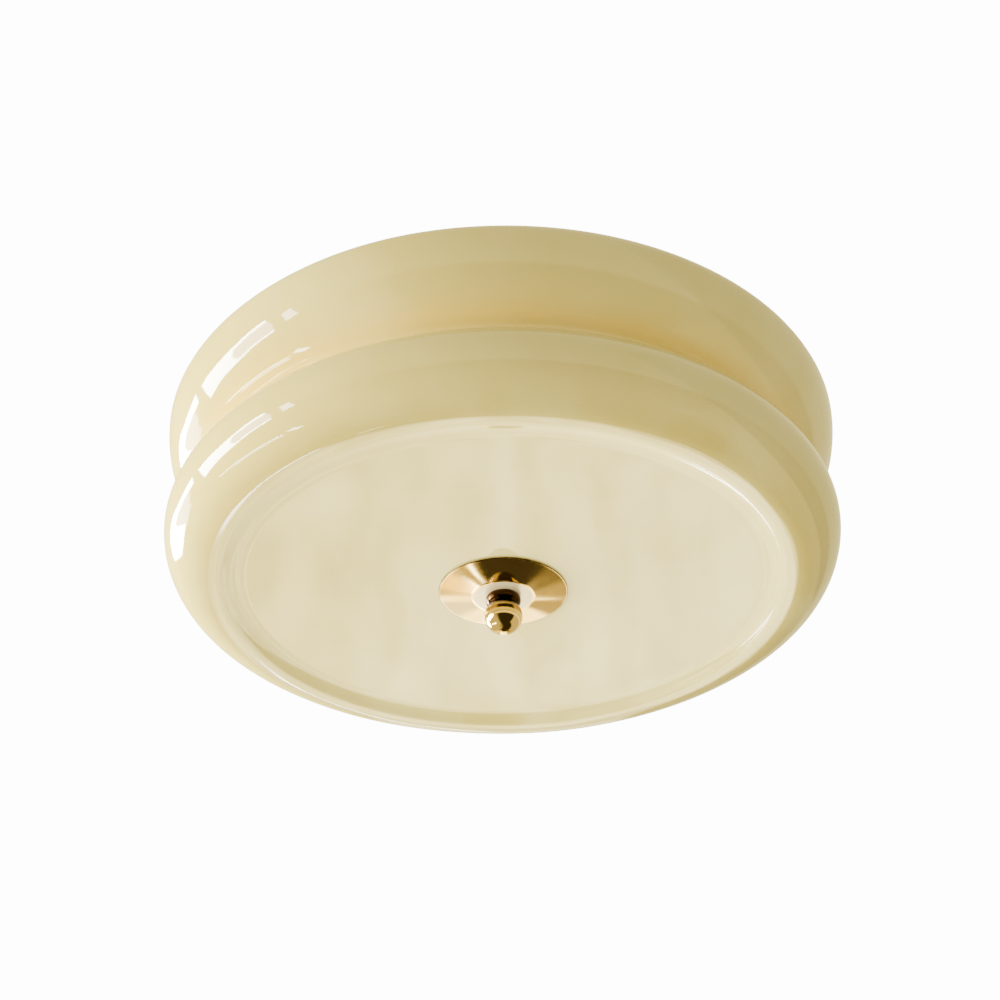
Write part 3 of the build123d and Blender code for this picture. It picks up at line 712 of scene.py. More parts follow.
@dataclass(frozen=True)
class OpalFinish:
    """Cream opal glass: painted brighter on the panel's right, painted shade under the lower roll, a painted
    glow in the waist.

    Each pair of levels, reaches or places across says where a fade starts and where it ends.
    """

    panel: Colour = (0.615, 0.525, 0.155)
    roll: Colour = (0.635, 0.53, 0.165)
    # A painted shade under the lower roll.
    under_roll_shade: Colour = (0.45, 0.37, 0.092)
    # A painted glow of light bouncing in the waist.
    waist: Colour = (0.78, 0.61, 0.145)
    milk: Colour = (0.90, 0.82, 0.46)
    # The panel's second tint, for its streaks and for the painted light on its right side.
    bright: Colour = (0.76, 0.68, 0.31)
    roughness: float = 0.025
    index: float = 1.52
    milkiness: float = 0.15
    spread_reach: Point3 = (1.0, 0.8, 0.45)
    spread_depth: float = 3 * MM
    edge_wander: float = 0.3 * MM
    wander_scale: float = 22.0
    cloud_scale: float = 11.0
    cloud_amount: float = 0.2
    wave_scale: float = 28.0
    wave_strength: float = 0.35
    wave_depth: float = 0.25 * MM
    streaks: Point3 = (13.0, 6.0, 6.0)
    streak_swing: Point = (-0.25, 0.45)
    # Where the panel is painted brighter toward the right, and how far.
    lit_across: Point = (-70 * MM, 90 * MM)
    lit_most: float = 0.9
    panel_levels: Point = (4 * MM, 9 * MM)
    panel_edge: float = 2.2 * MM
    # Where the painted shade under the lower roll lies, and how much of it stays at the left, where the light
    # falls.
    shade_reach: Point = (2 * MM, 24 * MM)
    shade_levels: Point = (12 * MM, 26 * MM)
    shade_across: Point = (-180 * MM, -20 * MM)
    shade_left: float = 0.15
    # Where the painted glow in the waist lies.
    waist_levels: Point = (4 * MM, 26 * MM)
    waist_inner: float = 4 * MM
    waist_outer: float = 3 * MM

    def material(self, shade: "GlassShade") -> bpy.types.Material:
        """The glass's material, its tints placed by the shade's own radii and heights.

        Args:
            shade: The shade that gives the radii and the heights.

        Returns:
            The material.
        """
        material, bench, shader = new_material("opal_glass")
        place = bench.add("ShaderNodeTexCoord").outputs["Object"]
        radius, height = bench.round_place(place)
        wander = bench.between(bench.noise(place, self.wander_scale, 1.0), *NOISE_RANGE,
                               -self.edge_wander, self.edge_wander)
        radius = bench.maths("ADD", radius, wander)
        panel = self.panel_mask(bench, shade, radius, height)
        under_roll_shade = self.under_roll_shade_mask(bench, shade, place, radius, height)
        waist = self.waist_glow_mask(bench, shade, radius, height)
        # Painted glow of bounced light in the waist.
        body = bench.mix(waist, rgba(self.roll), rgba(self.waist))
        # Painted shade under the lower roll.
        body = bench.mix(under_roll_shade, body, rgba(self.under_roll_shade))
        body = bench.mix(panel, body, self.panel_tint(bench, place))
        tint = bench.group(clouded(), {"Place": place, "Scale": self.cloud_scale, "Amount": self.cloud_amount,
                                       "First": body, "Second": rgba(self.milk)})
        bench.link(tint["Colour"], shader, "Base Color")
        waves = bench.add("ShaderNodeBump", {"Height": bench.noise(place, self.wave_scale, 1.0),
                                             "Strength": self.wave_strength, "Distance": self.wave_depth})
        bench.link(waves.outputs[0], shader, "Normal")
        shader.inputs["Roughness"].default_value = self.roughness
        shader.inputs["IOR"].default_value = self.index
        shader.inputs["Subsurface Weight"].default_value = self.milkiness
        shader.inputs["Subsurface Radius"].default_value = self.spread_reach
        shader.inputs["Subsurface Scale"].default_value = self.spread_depth
        return material

    def panel_tint(self, bench: NodeBench, place: Socket) -> Socket:
        """The panel's colour: long soft clouds, and painted light that brightens it toward the right.

        Args:
            bench: The material's nodes.
            place: The place on the glass.

        Returns:
            The colour.
        """
        stretched = bench.add("ShaderNodeVectorMath", {0: place, 1: self.streaks}, operation="MULTIPLY")
        streaks = bench.noise(stretched.outputs[0], 1.0, 2.0, 0.8)
        cloud = bench.between(streaks, 0.34, 0.66, *self.streak_swing)
        across = bench.add("ShaderNodeSeparateXYZ", {0: place}).outputs[0]
        # Painted light: the panel brighter toward the right.
        right = bench.between(across, *self.lit_across, 0.0, self.lit_most)
        return bench.mix(bench.maths("ADD", cloud, right), rgba(self.panel), rgba(self.bright))

    def panel_mask(self, bench: NodeBench, shade: "GlassShade", radius: Socket, height: Socket) -> Socket:
        """One over the recessed panel and the ring's flat, with a crisp edge.

        Args:
            bench: The material's nodes.
            shade: The shade that gives the radii and the heights.
            radius: The place's distance from the Z axis.
            height: The place's height.

        Returns:
            The mask.
        """
        start, end = self.panel_levels
        low = bench.between(height, shade.floor + start, shade.floor + end, 1.0, 0.0)
        inside = bench.between(radius, shade.flat_radius - self.panel_edge, shade.flat_radius, 1.0, 0.0)
        return bench.maths("MULTIPLY", low, inside)

    def under_roll_shade_mask(self, bench: NodeBench, shade: "GlassShade", place: Socket, radius: Socket,
                   height: Socket) -> Socket:
        """One under the lower roll, where shade is painted in, fading to the left, where the light falls.

        Args:
            bench: The material's nodes.
            shade: The shade that gives the radii and the heights.
            place: The place on the glass.
            radius: The place's distance from the Z axis.
            height: The place's height.

        Returns:
            The mask.
        """
        (near, far), (start, end) = self.shade_reach, self.shade_levels
        under = bench.between(radius, shade.flat_radius + near, shade.flat_radius + far, 1.0, 0.0)
        lower = bench.between(height, shade.floor + start, shade.floor + end, 1.0, 0.0)
        across = bench.add("ShaderNodeSeparateXYZ", {0: place}).outputs[0]
        left = bench.between(across, *self.shade_across, self.shade_left, 1.0)
        return bench.maths("MULTIPLY", left, bench.maths("MULTIPLY", under, lower))

    def waist_glow_mask(self, bench: NodeBench, shade: "GlassShade", radius: Socket, height: Socket) -> Socket:
        """One in the waist between the rolls, where a glow of bounced light is painted in.

        Args:
            bench: The material's nodes.
            shade: The shade that gives the radii and the heights.
            radius: The place's distance from the Z axis.
            height: The place's height.

        Returns:
            The mask.
        """
        level = shade.floor + shade.waist_centre[1]
        away = bench.maths("ABSOLUTE", bench.maths("SUBTRACT", height, level))
        inner = shade.waist_radius + self.waist_inner
        deep = bench.between(radius, inner, shade.lower_roll_radius - self.waist_outer, 1.0, 0.0)
        return bench.maths("MULTIPLY", bench.between(away, *self.waist_levels, 1.0, 0.0), deep)


@dataclass
class GlassShade:
    """The blown shade: two stacked rolls, a waist between them and a recessed panel."""

    wall: float = 4.5 * MM
    lower_roll_radius: float = 200.0 * MM
    lower_roll_under: float = 26.9 * MM
    lower_roll_over: float = 20.5 * MM
    upper_roll_spread: float = 4.0 * MM
    upper_roll_under: float = 44.8 * MM
    upper_roll_over: float = 10.9 * MM
    waist_depth: float = 21.3 * MM
    waist_round: float = 7.0 * MM
    ring_flat: float = 4.1 * MM
    ring_round: float = 18.0 * MM
    panel_band: float = 19.0 * MM
    recess_depth: float = 3.0 * MM
    shoulder_flat: float = 11.1 * MM
    neck_round: float = 5.0 * MM
    neck_straight: float = 3.9 * MM
    hole: float = 6.5 * MM
    blown: float = 0.5 * MM
    blown_scale: float = 0.09
    spin_steps: int = 256
    finish: OpalFinish = OpalFinish()

    def __post_init__(self) -> None:
        """Works the centres of the outline's arcs out from the driving sizes."""
        self.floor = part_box("glass_shade")[0][2]
        self.waist_radius = self.lower_roll_radius - self.waist_depth
        self.flat_radius = self.lower_roll_radius - self.lower_roll_under
        self.under_centre = (self.flat_radius, self.lower_roll_under)
        self.over_centre = (self.lower_roll_radius - self.lower_roll_over, self.lower_roll_under)
        middle = self.waist_radius + self.waist_round
        over_rise = sqrt((self.lower_roll_over + self.waist_round) ** 2 - (middle - self.over_centre[0]) ** 2)
        self.waist_centre = (middle, self.over_centre[1] + over_rise)
        self.over_turn = degrees(atan2(over_rise, middle - self.over_centre[0]))
        upper_radius = self.lower_roll_radius + self.upper_roll_spread
        belly = upper_radius - self.upper_roll_under
        belly_rise = sqrt((self.upper_roll_under + self.waist_round) ** 2 - (middle - belly) ** 2)
        self.belly_centre = (belly, self.waist_centre[1] + belly_rise)
        self.belly_turn = degrees(atan2(belly_rise, middle - belly))
        self.crown_centre = (upper_radius - self.upper_roll_over, self.belly_centre[1])
        shoulder = self.crown_centre[1] + self.upper_roll_over
        self.neck_centre = (self.crown_centre[0] - self.shoulder_flat, shoulder + self.neck_round)
        self.neck_radius = self.neck_centre[0] - self.neck_round
        self.height = self.neck_centre[1] + self.neck_straight
        self.ring_radius = self.flat_radius - self.ring_flat
        self.panel_radius = self.ring_radius - self.panel_band

    def outline(self, depth: float) -> list[Point]:
        """The shade's line from its hole to its rim.

        Args:
            depth: How far inside the outer face the line runs.

        Returns:
            The points, as radius and height above the shade's lowest level.
        """
        dish_round = (self.panel_band**2 + self.recess_depth**2) / (2 * self.recess_depth) - self.ring_round
        dish_centre = (self.panel_radius, self.recess_depth - dish_round)
        ring_centre = (self.ring_radius, self.ring_round)
        dish_turn = degrees(atan2(self.panel_band, ring_centre[1] - dish_centre[1]))
        level = self.recess_depth + depth
        return [
            *run((self.hole, level), (self.panel_radius, level), 12),
            *arc(dish_centre, dish_round + depth, 90, -dish_turn, 8),
            *arc(ring_centre, self.ring_round - depth, -90 - dish_turn, dish_turn, 8),
            *arc(self.under_centre, self.lower_roll_under - depth, -90, 90, 22),
            *arc(self.over_centre, self.lower_roll_over - depth, 0, self.over_turn, 18),
            *arc(self.waist_centre, self.waist_round + depth, 180 + self.over_turn,
                 -self.over_turn - self.belly_turn, 20),
            *arc(self.belly_centre, self.upper_roll_under - depth, -self.belly_turn, self.belly_turn, 22),
            *arc(self.crown_centre, self.upper_roll_over - depth, 0, 90, 12),
            *arc(self.neck_centre, self.neck_round + depth, -90, -90, 8),
            (self.neck_radius - depth, self.height),
        ]

    def build(self) -> Piece:
        """Spins the wall and lets it wander inwards a little, as blown glass does.

        Returns:
            The shade.
        """
        section = self.outline(0.0) + self.outline(self.wall)[::-1]
        piece = turned("opal_shade", [(r, z + self.floor) for r, z in section], self.spin_steps)
        waves = bpy.data.textures.new("blown_waves", "CLOUDS")
        waves.noise_scale = self.blown_scale
        waves.noise_depth = 0
        modifier = piece.modifiers.new("blown", "DISPLACE")
        modifier.texture = waves
        modifier.texture_coords = "GLOBAL"
        modifier.direction = "NORMAL"
        modifier.strength = self.blown
        modifier.mid_level = 1.0
        apply_modifier(piece, modifier)
        dress(piece, self.finish.material(self))
        seat(piece, "shade", "opal_glass", "glass_shade")
        return piece


@dataclass(frozen=True)
class BrassFinish:
    """Polished brass with the faint rings that turning leaves."""

    colour: Colour = (0.82, 0.61, 0.21)
    worn: Colour = (0.76, 0.54, 0.16)
    # Dark brass: painted shade at the cap's rim, and tarnish with painted shade on the finial's collar.
    dark: Colour = (0.035, 0.017, 0.006)
    roughness: float = 0.06
    haze: float = 0.03
    wear_scale: float = 60.0
    rings: float = 900.0
    ring_strength: float = 0.06
    ring_depth: float = 0.05 * MM

    def material(self, name: str) -> bpy.types.Material:
        """The brass's material, with rings about the Z axis and a dark colour where a finish paints it in.

        Args:
            name: The material's name.

        Returns:
            The material.
        """
        material, bench, shader = new_material(name)
        place = bench.add("ShaderNodeTexCoord").outputs["Object"]
        radius, height = bench.round_place(place)
        shader.inputs["Metallic"].default_value = 1.0
        tint = bench.group(clouded(), {"Place": place, "Scale": self.wear_scale, "Amount": 1.0,
                                       "First": rgba(self.colour), "Second": rgba(self.worn)})
        wear = bench.noise(place, self.wear_scale, 3.0)
        haze = bench.between(wear, *NOISE_RANGE, self.roughness, self.roughness + self.haze)
        shine, haze = self.finished(bench, shader, radius, tint["Colour"], haze)
        # Mixes in the dark colour: painted shade, and tarnish where a finish has it.
        bench.link(bench.mix(self.darkened(bench, radius, height), shine, rgba(self.dark)), shader, "Base Color")
        bench.link(haze, shader, "Roughness")
        line = bench.add("ShaderNodeCombineXYZ", {0: radius, 2: height})
        rings = bench.noise(line.outputs[0], self.rings, 1.0)
        bump = bench.add("ShaderNodeBump", {"Height": rings, "Strength": self.ring_strength,
                                            "Distance": self.ring_depth})
        bench.link(bump.outputs[0], shader, "Normal")
        return material

    def finished(self, bench: NodeBench, shader: bpy.types.Node, radius: Socket, shine: Socket,
                 haze: Socket) -> tuple[Socket, Socket]:
        """The colour and the roughness, as they come where all of it is polished."""
        return shine, haze

    def darkened(self, bench: NodeBench, radius: Socket, height: Socket) -> Value:
        """One where the brass is painted dark: nowhere, unless a finish says so."""
        return 0.0


@dataclass(frozen=True)
class CapBrass(BrassFinish):
    """The cap's brass: satin in its flat middle, polished round it, painted dark at its rim."""

    satin: float = 17.4 * MM
    satin_edge: float = 0.3 * MM
    satin_metal: float = 0.45
    satin_roughness: float = 0.3
    # Where the painted dark line of shade at the rim starts.
    rim: float = 37.6 * MM
    rim_edge: float = 0.1 * MM
    # The satin middle's pale colour, a painted reflection.
    pale: Colour = (1.0, 0.85, 0.62)

    def finished(self, bench: NodeBench, shader: bpy.types.Node, radius: Socket, shine: Socket,
                 haze: Socket) -> tuple[Socket, Socket]:
        """The colour and the roughness: rougher in the satin middle, and paler there as a painted reflection.

        Args:
            bench: The material's nodes.
            shader: The material's shader.
            radius: The place's distance from the Z axis.
            shine: The polished colour.
            haze: The polished roughness.

        Returns:
            The colour and the roughness.
        """
        satin = bench.between(radius, self.satin - self.satin_edge, self.satin + self.satin_edge, 1.0, 0.0)
        bench.link(bench.between(satin, 0.0, 1.0, 1.0, self.satin_metal), shader, "Metallic")
        rough = bench.maths("ADD", haze, bench.maths("MULTIPLY", satin, self.satin_roughness))
        return bench.mix(satin, shine, rgba(self.pale)), rough

    def darkened(self, bench: NodeBench, radius: Socket, height: Socket) -> Value:
        """One at the rim, where a dark line of shade is painted."""
        return bench.between(radius, self.rim, self.rim + self.rim_edge)


@dataclass(frozen=True)
class FinialBrass(BrassFinish):
    """The finial's brass: dark in the neck and on the collar, with tarnish and with painted shade under the
    cap.
    """

    bright_below: float = 0.0
    dark_above: float = 0.0

    def darkened(self, bench: NodeBench, radius: Socket, height: Socket) -> Value:
        """One on the collar, where tarnish and painted shade under the cap darken it, fading out over the top
        of the ball.
        """
        return bench.between(height, self.bright_below, self.dark_above)


@dataclass
class BrassCap:
    """The shallow cone of sheet under the glass: a flat middle and an edge turned up."""

    panel_face: float
    radius: float = 38.0 * MM
    depth: float = 4.0 * MM
    flat: float = 17.4 * MM
    sheet: float = 0.8 * MM
    edge: float = 0.5 * MM
    edge_bend: float = 0.15 * MM
    flat_bend: float = 0.6 * MM
    lip_round: float = 0.25 * MM
    seat_width: float = 5.5 * MM
    gap: float = 0.3 * MM
    bore: float = 5.3 * MM
    spin_steps: int = 160
    finish: CapBrass = CapBrass()

    def build(self) -> Piece:
        """Spins the cone, with its edge rounded where the sheet turns up.

        Returns:
            The cap.
        """
        foot = (self.radius - self.edge, -self.gap - self.edge)
        slope = atan2(foot[1] + self.depth, foot[0] - self.flat)
        lip = (self.radius - self.lip_round, -self.gap - self.lip_round)
        before = (foot[0] - self.edge_bend * cos(slope), foot[1] - self.edge_bend * sin(slope))
        section = [
            *run((self.bore, -self.depth), (self.flat - self.flat_bend, -self.depth), 3),
            *run((self.flat + self.flat_bend, self.flat_bend * sin(slope) - self.depth), before, 16),
            foot,
            *arc(lip, self.lip_round, -75, 90, 6),
            (self.radius - self.sheet, -self.gap),
            *run((self.radius - self.seat_width, -self.gap), (self.flat, self.sheet - self.depth), 8),
            (self.bore, self.sheet - self.depth),
        ]
        piece = turned("brass_cone", [(r, z + self.panel_face) for r, z in section], self.spin_steps)
        dress(piece, self.finish.material("cone_brass"))
        seat(piece, "cap", "polished_brass", "brass_cap")
        return piece


@dataclass
class Finial:
    """The turned finial: a rounded collar and a ball, bored from above for the rod."""

    panel_face: float
    bead_radius: float = 10.4 * MM
    bead_round: float = 4.5 * MM
    bead_drop: float = 6.2 * MM
    ball_radius: float = 11.1 * MM
    ball_drop: float = 17.0 * MM
    top: float = 4.0 * MM
    bore: float = 5.05 * MM
    bore_end: float = 17.6 * MM
    bright_drop: float = 16.5 * MM
    dark_drop: float = 11.0 * MM
    spin_steps: int = 96

    def build(self) -> Piece:
        """Spins the finial from the mouth of its bore down to the ball's foot and back.

        Returns:
            The finial.
        """
        bead = (self.bead_radius - self.bead_round, -self.bead_drop)
        ball = (0.0, -self.ball_drop)
        rise = self.bead_drop - self.top
        start = degrees(atan2(rise, sqrt(self.bead_round**2 - rise**2)))
        apart = hypot(bead[0], self.ball_drop - self.bead_drop)
        lean = degrees(atan2(self.ball_drop - self.bead_drop, bead[0]))
        share = (apart**2 + self.bead_round**2 - self.ball_radius**2) / (2 * apart * self.bead_round)
        other = (apart**2 + self.ball_radius**2 - self.bead_round**2) / (2 * apart * self.ball_radius)
        bead_end = -(180 - lean) + degrees(acos(share))
        ball_start = lean - degrees(acos(other))
        section = [
            (self.bore, -self.top),
            *arc(bead, self.bead_round, start, bead_end - start, 26),
            *arc(ball, self.ball_radius, ball_start, -90 - ball_start, 44),
        ]
        section[-1] = (0.0, -self.ball_drop - self.ball_radius)
        section += [(0.0, -self.bore_end), (self.bore, -self.bore_end)]
        piece = turned("ball_finial", [(r, z + self.panel_face) for r, z in section], self.spin_steps)
        finish = FinialBrass(bright_below=self.panel_face - self.bright_drop,
                             dark_above=self.panel_face - self.dark_drop)
        dress(piece, finish.material("ball_brass"))
        seat(piece, "finial", "polished_brass", "finial")
        return piece


class Drive(Enum):
    """The recess in a screw's head."""

    CROSS = "cross"
    SLOT = "slot"


@dataclass
class HexNut:
    """A hexagon nut with its corners chamfered on both faces."""

    hole: float
    flats: float
    height: float
    hole_chamfer: float = 0.25 * MM
    face_share: float = 0.97
    chamfer_rise: float = 0.577

    def build(self, name: str) -> Piece:
        """Models the nut standing on the ground, with two corners on the X axis.

        Args:
            name: The nut's name.

        Returns:
            The nut.
        """
        inner, outer = self.flats / 2, self.flats / sqrt(3)
        drop = (outer - inner) * self.chamfer_rise
        side = [(0.0, 0.0), (outer, 0.0), (outer, self.height), (0.0, self.height)]
        prism = turned(name, side, 6, closed=False)
        mouth, face, past = self.hole + self.hole_chamfer, inner * self.face_share, outer * 1.02
        section = [
            (mouth, 0.0), (face, 0.0), (outer, drop), (past, drop), (past, self.height - drop),
            (outer, self.height - drop), (face, self.height), (mouth, self.height),
            (self.hole, self.height - self.hole_chamfer), (self.hole, self.hole_chamfer),
        ]
        combined(prism, turned("round_stock", section, 48), "INTERSECT")
        return prism


@dataclass
class Screw:
    """A round-headed screw with a rolled thread and a recess in its head."""

    radius: float
    length: float
    head_radius: float
    head_height: float
    pitch: float
    drive: Drive = Drive.CROSS
    crown_fall: float = 0.06
    thread_share: float = 0.6

    def build(self, name: str) -> Piece:
        """Models the screw upright, its head on the ground's plane and its shank below.

        Args:
            name: The screw's name.

        Returns:
            The screw.
        """
        round_over = self.head_height / 2
        crown = [(r, self.head_height - self.crown_fall * self.head_height * (r / self.head_radius) ** 2)
                 for r in (0.0, 0.2 * self.head_radius, 0.4 * self.head_radius)]
        level = (1.0 - self.crown_fall) * self.head_height - round_over
        shoulder = arc((self.head_radius - round_over, level), round_over, 90, -90, 8)
        head = turned(name, [*crown, *shoulder, (self.head_radius, 0.0), (0.0, 0.0)], 32, closed=False)
        for cutter in self.recess():
            combined(head, cutter, "DIFFERENCE")
        depth = self.thread_share * self.pitch
        shank = threaded("shank", self.radius, depth, self.pitch, -self.length, 0.0, 16)
        close_open_edges(shank)
        return joined(head, shank)

    def recess(self) -> list[Piece]:
        """Models what cuts the recess of the head.

        Returns:
            One block for a slot, two for a cross.
        """
        size = self.head_radius
        place = Vector((0, 0, self.head_height))
        if self.drive is Drive.SLOT:
            return [block("slot", (2.4 * size, 0.26 * size, 0.9 * self.head_height), place)]
        long, thin, deep = 1.15 * size, 0.24 * size, 1.2 * self.head_height
        return [block("bar", (long, thin, deep), place), block("cross_bar", (thin, long, deep), place)]


# A nut is given by its hole's radius, its width across flats and its height, and a screw by
# its radius and length, its head's radius and height, and its pitch.
M10_NUT = HexNut(5.05 * MM, 17.0 * MM, 5.0 * MM)
M4_NUT = HexNut(2.05 * MM, 7.0 * MM, 3.2 * MM)
M3_NUT = HexNut(1.55 * MM, 5.5 * MM, 2.4 * MM)

# Each kind of nut and screw, the slot of its finish and the CAD nodes that it stands for.
FASTENER_KINDS = (
    (M10_NUT, "zinc_steel", ("rod_nuts", "stop_nut")),
    (M4_NUT, "zinc_steel", ("stud_locknuts", "earth_nut")),
    (M3_NUT, "zinc_steel", ("pan_nuts",)),
    (Screw(2.0 * MM, 24.5 * MM, 3.6 * MM, 2.2 * MM, 0.7 * MM), "zinc_steel", ("bracket_studs",)),
    (Screw(2.0 * MM, 5.4 * MM, 3.6 * MM, 2.2 * MM, 0.7 * MM), "zinc_steel", ("earth_screw",)),
    (Screw(1.5 * MM, 5.3 * MM, 2.9 * MM, 1.8 * MM, 0.5 * MM), "zinc_steel", ("foot_screws",)),
    (Screw(1.5 * MM, 12.4 * MM, 2.9 * MM, 1.8 * MM, 0.5 * MM), "zinc_steel", ("block_screws",)),
    (Screw(1.5 * MM, 9.2 * MM, 2.9 * MM, 1.8 * MM, 0.5 * MM), "zinc_steel", ("holder_screws",)),
    (Screw(1.25 * MM, 4.0 * MM, 1.8 * MM, 1.4 * MM, 0.45 * MM, Drive.SLOT), "terminal_brass",
     ("terminal_screws",)),
)


@dataclass
class Fasteners:
    """Every nut and screw of the light, each kind modelled once and copied to its places."""

    web_top: float = -21.0 * MM
    web_under: float = -22.0 * MM
    bar_top: float = -4.0 * MM
    bar_sheet: float = 1.5 * MM
    stud_side: float = 65.0 * MM
    block_side: float = 19.5 * MM
    block_y: float = 78.0 * MM
    block_base: float = 8.6 * MM
    earth: tuple[float, float] = (46.0 * MM, 56.0 * MM)
    lug: float = 0.8 * MM
    foot_side: float = 7.0 * MM
    foot_reach: float = 20.0 * MM
    holder_side: float = 7.0 * MM
    terminal_side: float = 16.5 * MM
    terminal_ledge: float = 5.0 * MM
    terminal_depth: float = 5.6 * MM
    sheet: float = 1.5 * MM
    washer: float = 1.5 * MM
    stop_face: float = -111.5 * MM

    def places(self, lamps: list[Matrix]) -> dict[str, list[Matrix]]:
        """Works out where the copies of each kind go.

        Args:
            lamps: The lampholders' frames.

        Returns:
            The places, by the name of the CAD node.
        """
        over, upright = Matrix.Rotation(pi, 4, "X"), Matrix.Rotation(-pi / 2, 4, "X")
        sides = [(lamp, side) for lamp in lamps for side in (1, -1)]
        studs = [(-self.stud_side, 0.0), (self.stud_side, 0.0)]
        blocks = [(-self.block_side, self.block_y), (self.block_side, self.block_y)]
        feet = [lamp @ Vector((side * self.foot_side, 0.0, self.foot_reach)) for lamp, side in sides]
        rod_levels = (self.web_top + self.washer, self.web_under - self.washer - M10_NUT.height)
        under_bar = self.bar_top - self.bar_sheet - M4_NUT.height
        under_blocks = [shifted(x, y, self.web_under - M3_NUT.height) for x, y in blocks]
        return {
            "rod_nuts": [shifted(0, 0, z) for z in rod_levels],
            "stop_nut": [shifted(0, 0, self.stop_face + self.washer)],
            "stud_locknuts": [shifted(x, y, under_bar) for x, y in studs],
            "earth_nut": [shifted(*self.earth, self.web_under - M4_NUT.height)],
            "pan_nuts": [shifted(p.x, p.y, self.web_top) for p in feet] + under_blocks,
            "bracket_studs": [shifted(x, y, self.bar_top) for x, y in studs],
            "earth_screw": [shifted(*self.earth, self.web_top + self.lug)],
            "foot_screws": [shifted(p.x, p.y, self.web_under - self.sheet) @ over for p in feet],
            "block_screws": [shifted(x, y, self.web_top + self.block_base) for x, y in blocks],
            "holder_screws": [lamp @ shifted(side * self.holder_side, 0, -self.sheet) @ over
                              for lamp, side in sides],
            "terminal_screws": [lamp @ shifted(side * self.terminal_side, self.terminal_ledge,
                                               self.terminal_depth) @ upright for lamp, side in sides],
        }

    def set_out(self, node: str, model: Piece, places: list[Matrix], slot: str,
                wardrobe: "Wardrobe") -> None:
        """Copies a model to its places as one piece that stands for its CAD node.

        Args:
            node: The CAD node.
            model: The piece to copy.
            places: Where the copies go.
            slot: The slot of its finish.
            wardrobe: Where the finish comes from.
        """
        copies = [placed(model, f"{node}_copy_{number}", place) for number, place in enumerate(places)]
        piece = joined(*copies)
        piece.name = piece.data.name = f"shaped_{node}"
        wardrobe.dress(piece, slot)
        seat(piece, "root", slot, node)

    def build(self, lamps: list[Matrix], wardrobe: "Wardrobe") -> None:
        """Models each kind of nut and screw and sets it out.

        Args:
            lamps: The lampholders' frames.
            wardrobe: Where the finishes come from.
        """
        places = self.places(lamps)
        for kind, slot, nodes in FASTENER_KINDS:
            model = kind.build("fastener")
            for node in nodes:
                self.set_out(node, model, places[node], slot, wardrobe)
            removed(model)


@dataclass
class HangingRod:
    """The hollow M10 rod, its thread cut from end to end."""

    radius: float = 5.0 * MM
    bore: float = 3.5 * MM
    pitch: float = 1.0 * MM
    top: float = -13.0 * MM
    bottom: float = -133.6 * MM
    thread_share: float = 0.6
    bore_sides: int = 24

    def build(self, wardrobe: "Wardrobe") -> Piece:
        """Winds the thread, then joins it to the bore at both ends.

        Args:
            wardrobe: Where the finish comes from.

        Returns:
            The rod.
        """
        depth = self.thread_share * self.pitch
        piece = threaded("threaded_rod", self.radius, depth, self.pitch, self.bottom, self.top, 20)
        bpy.ops.object.mode_set(mode="EDIT")
        bpy.ops.mesh.select_mode(type="EDGE")
        for level in (self.bottom, self.top):
            bpy.ops.mesh.select_all(action="DESELECT")
            bpy.ops.mesh.primitive_circle_add(vertices=self.bore_sides, radius=self.bore,
                                              location=(0, 0, level))
            bpy.ops.object.mode_set(mode="OBJECT")
            for edge in piece.data.edges:
                ends = [piece.data.vertices[v].co.z for v in edge.vertices]
                edge.select = all(abs(z - level) < 0.001 * MM for z in ends)
            bpy.ops.object.mode_set(mode="EDIT")
            bpy.ops.mesh.bridge_edge_loops()
        bpy.ops.mesh.select_all(action="DESELECT")
        bpy.ops.mesh.select_non_manifold()
        bpy.ops.mesh.bridge_edge_loops()
        bpy.ops.mesh.select_mode(type="VERT")
        bpy.ops.mesh.select_all(action="SELECT")
        bpy.ops.mesh.normals_make_consistent(inside=False)
        bpy.ops.object.mode_set(mode="OBJECT")
        smooth(piece, CUT_CREASE)
        wardrobe.dress(piece, "zinc_steel")
        seat(piece, "root", "zinc_steel", "centre_rod")
        return piece


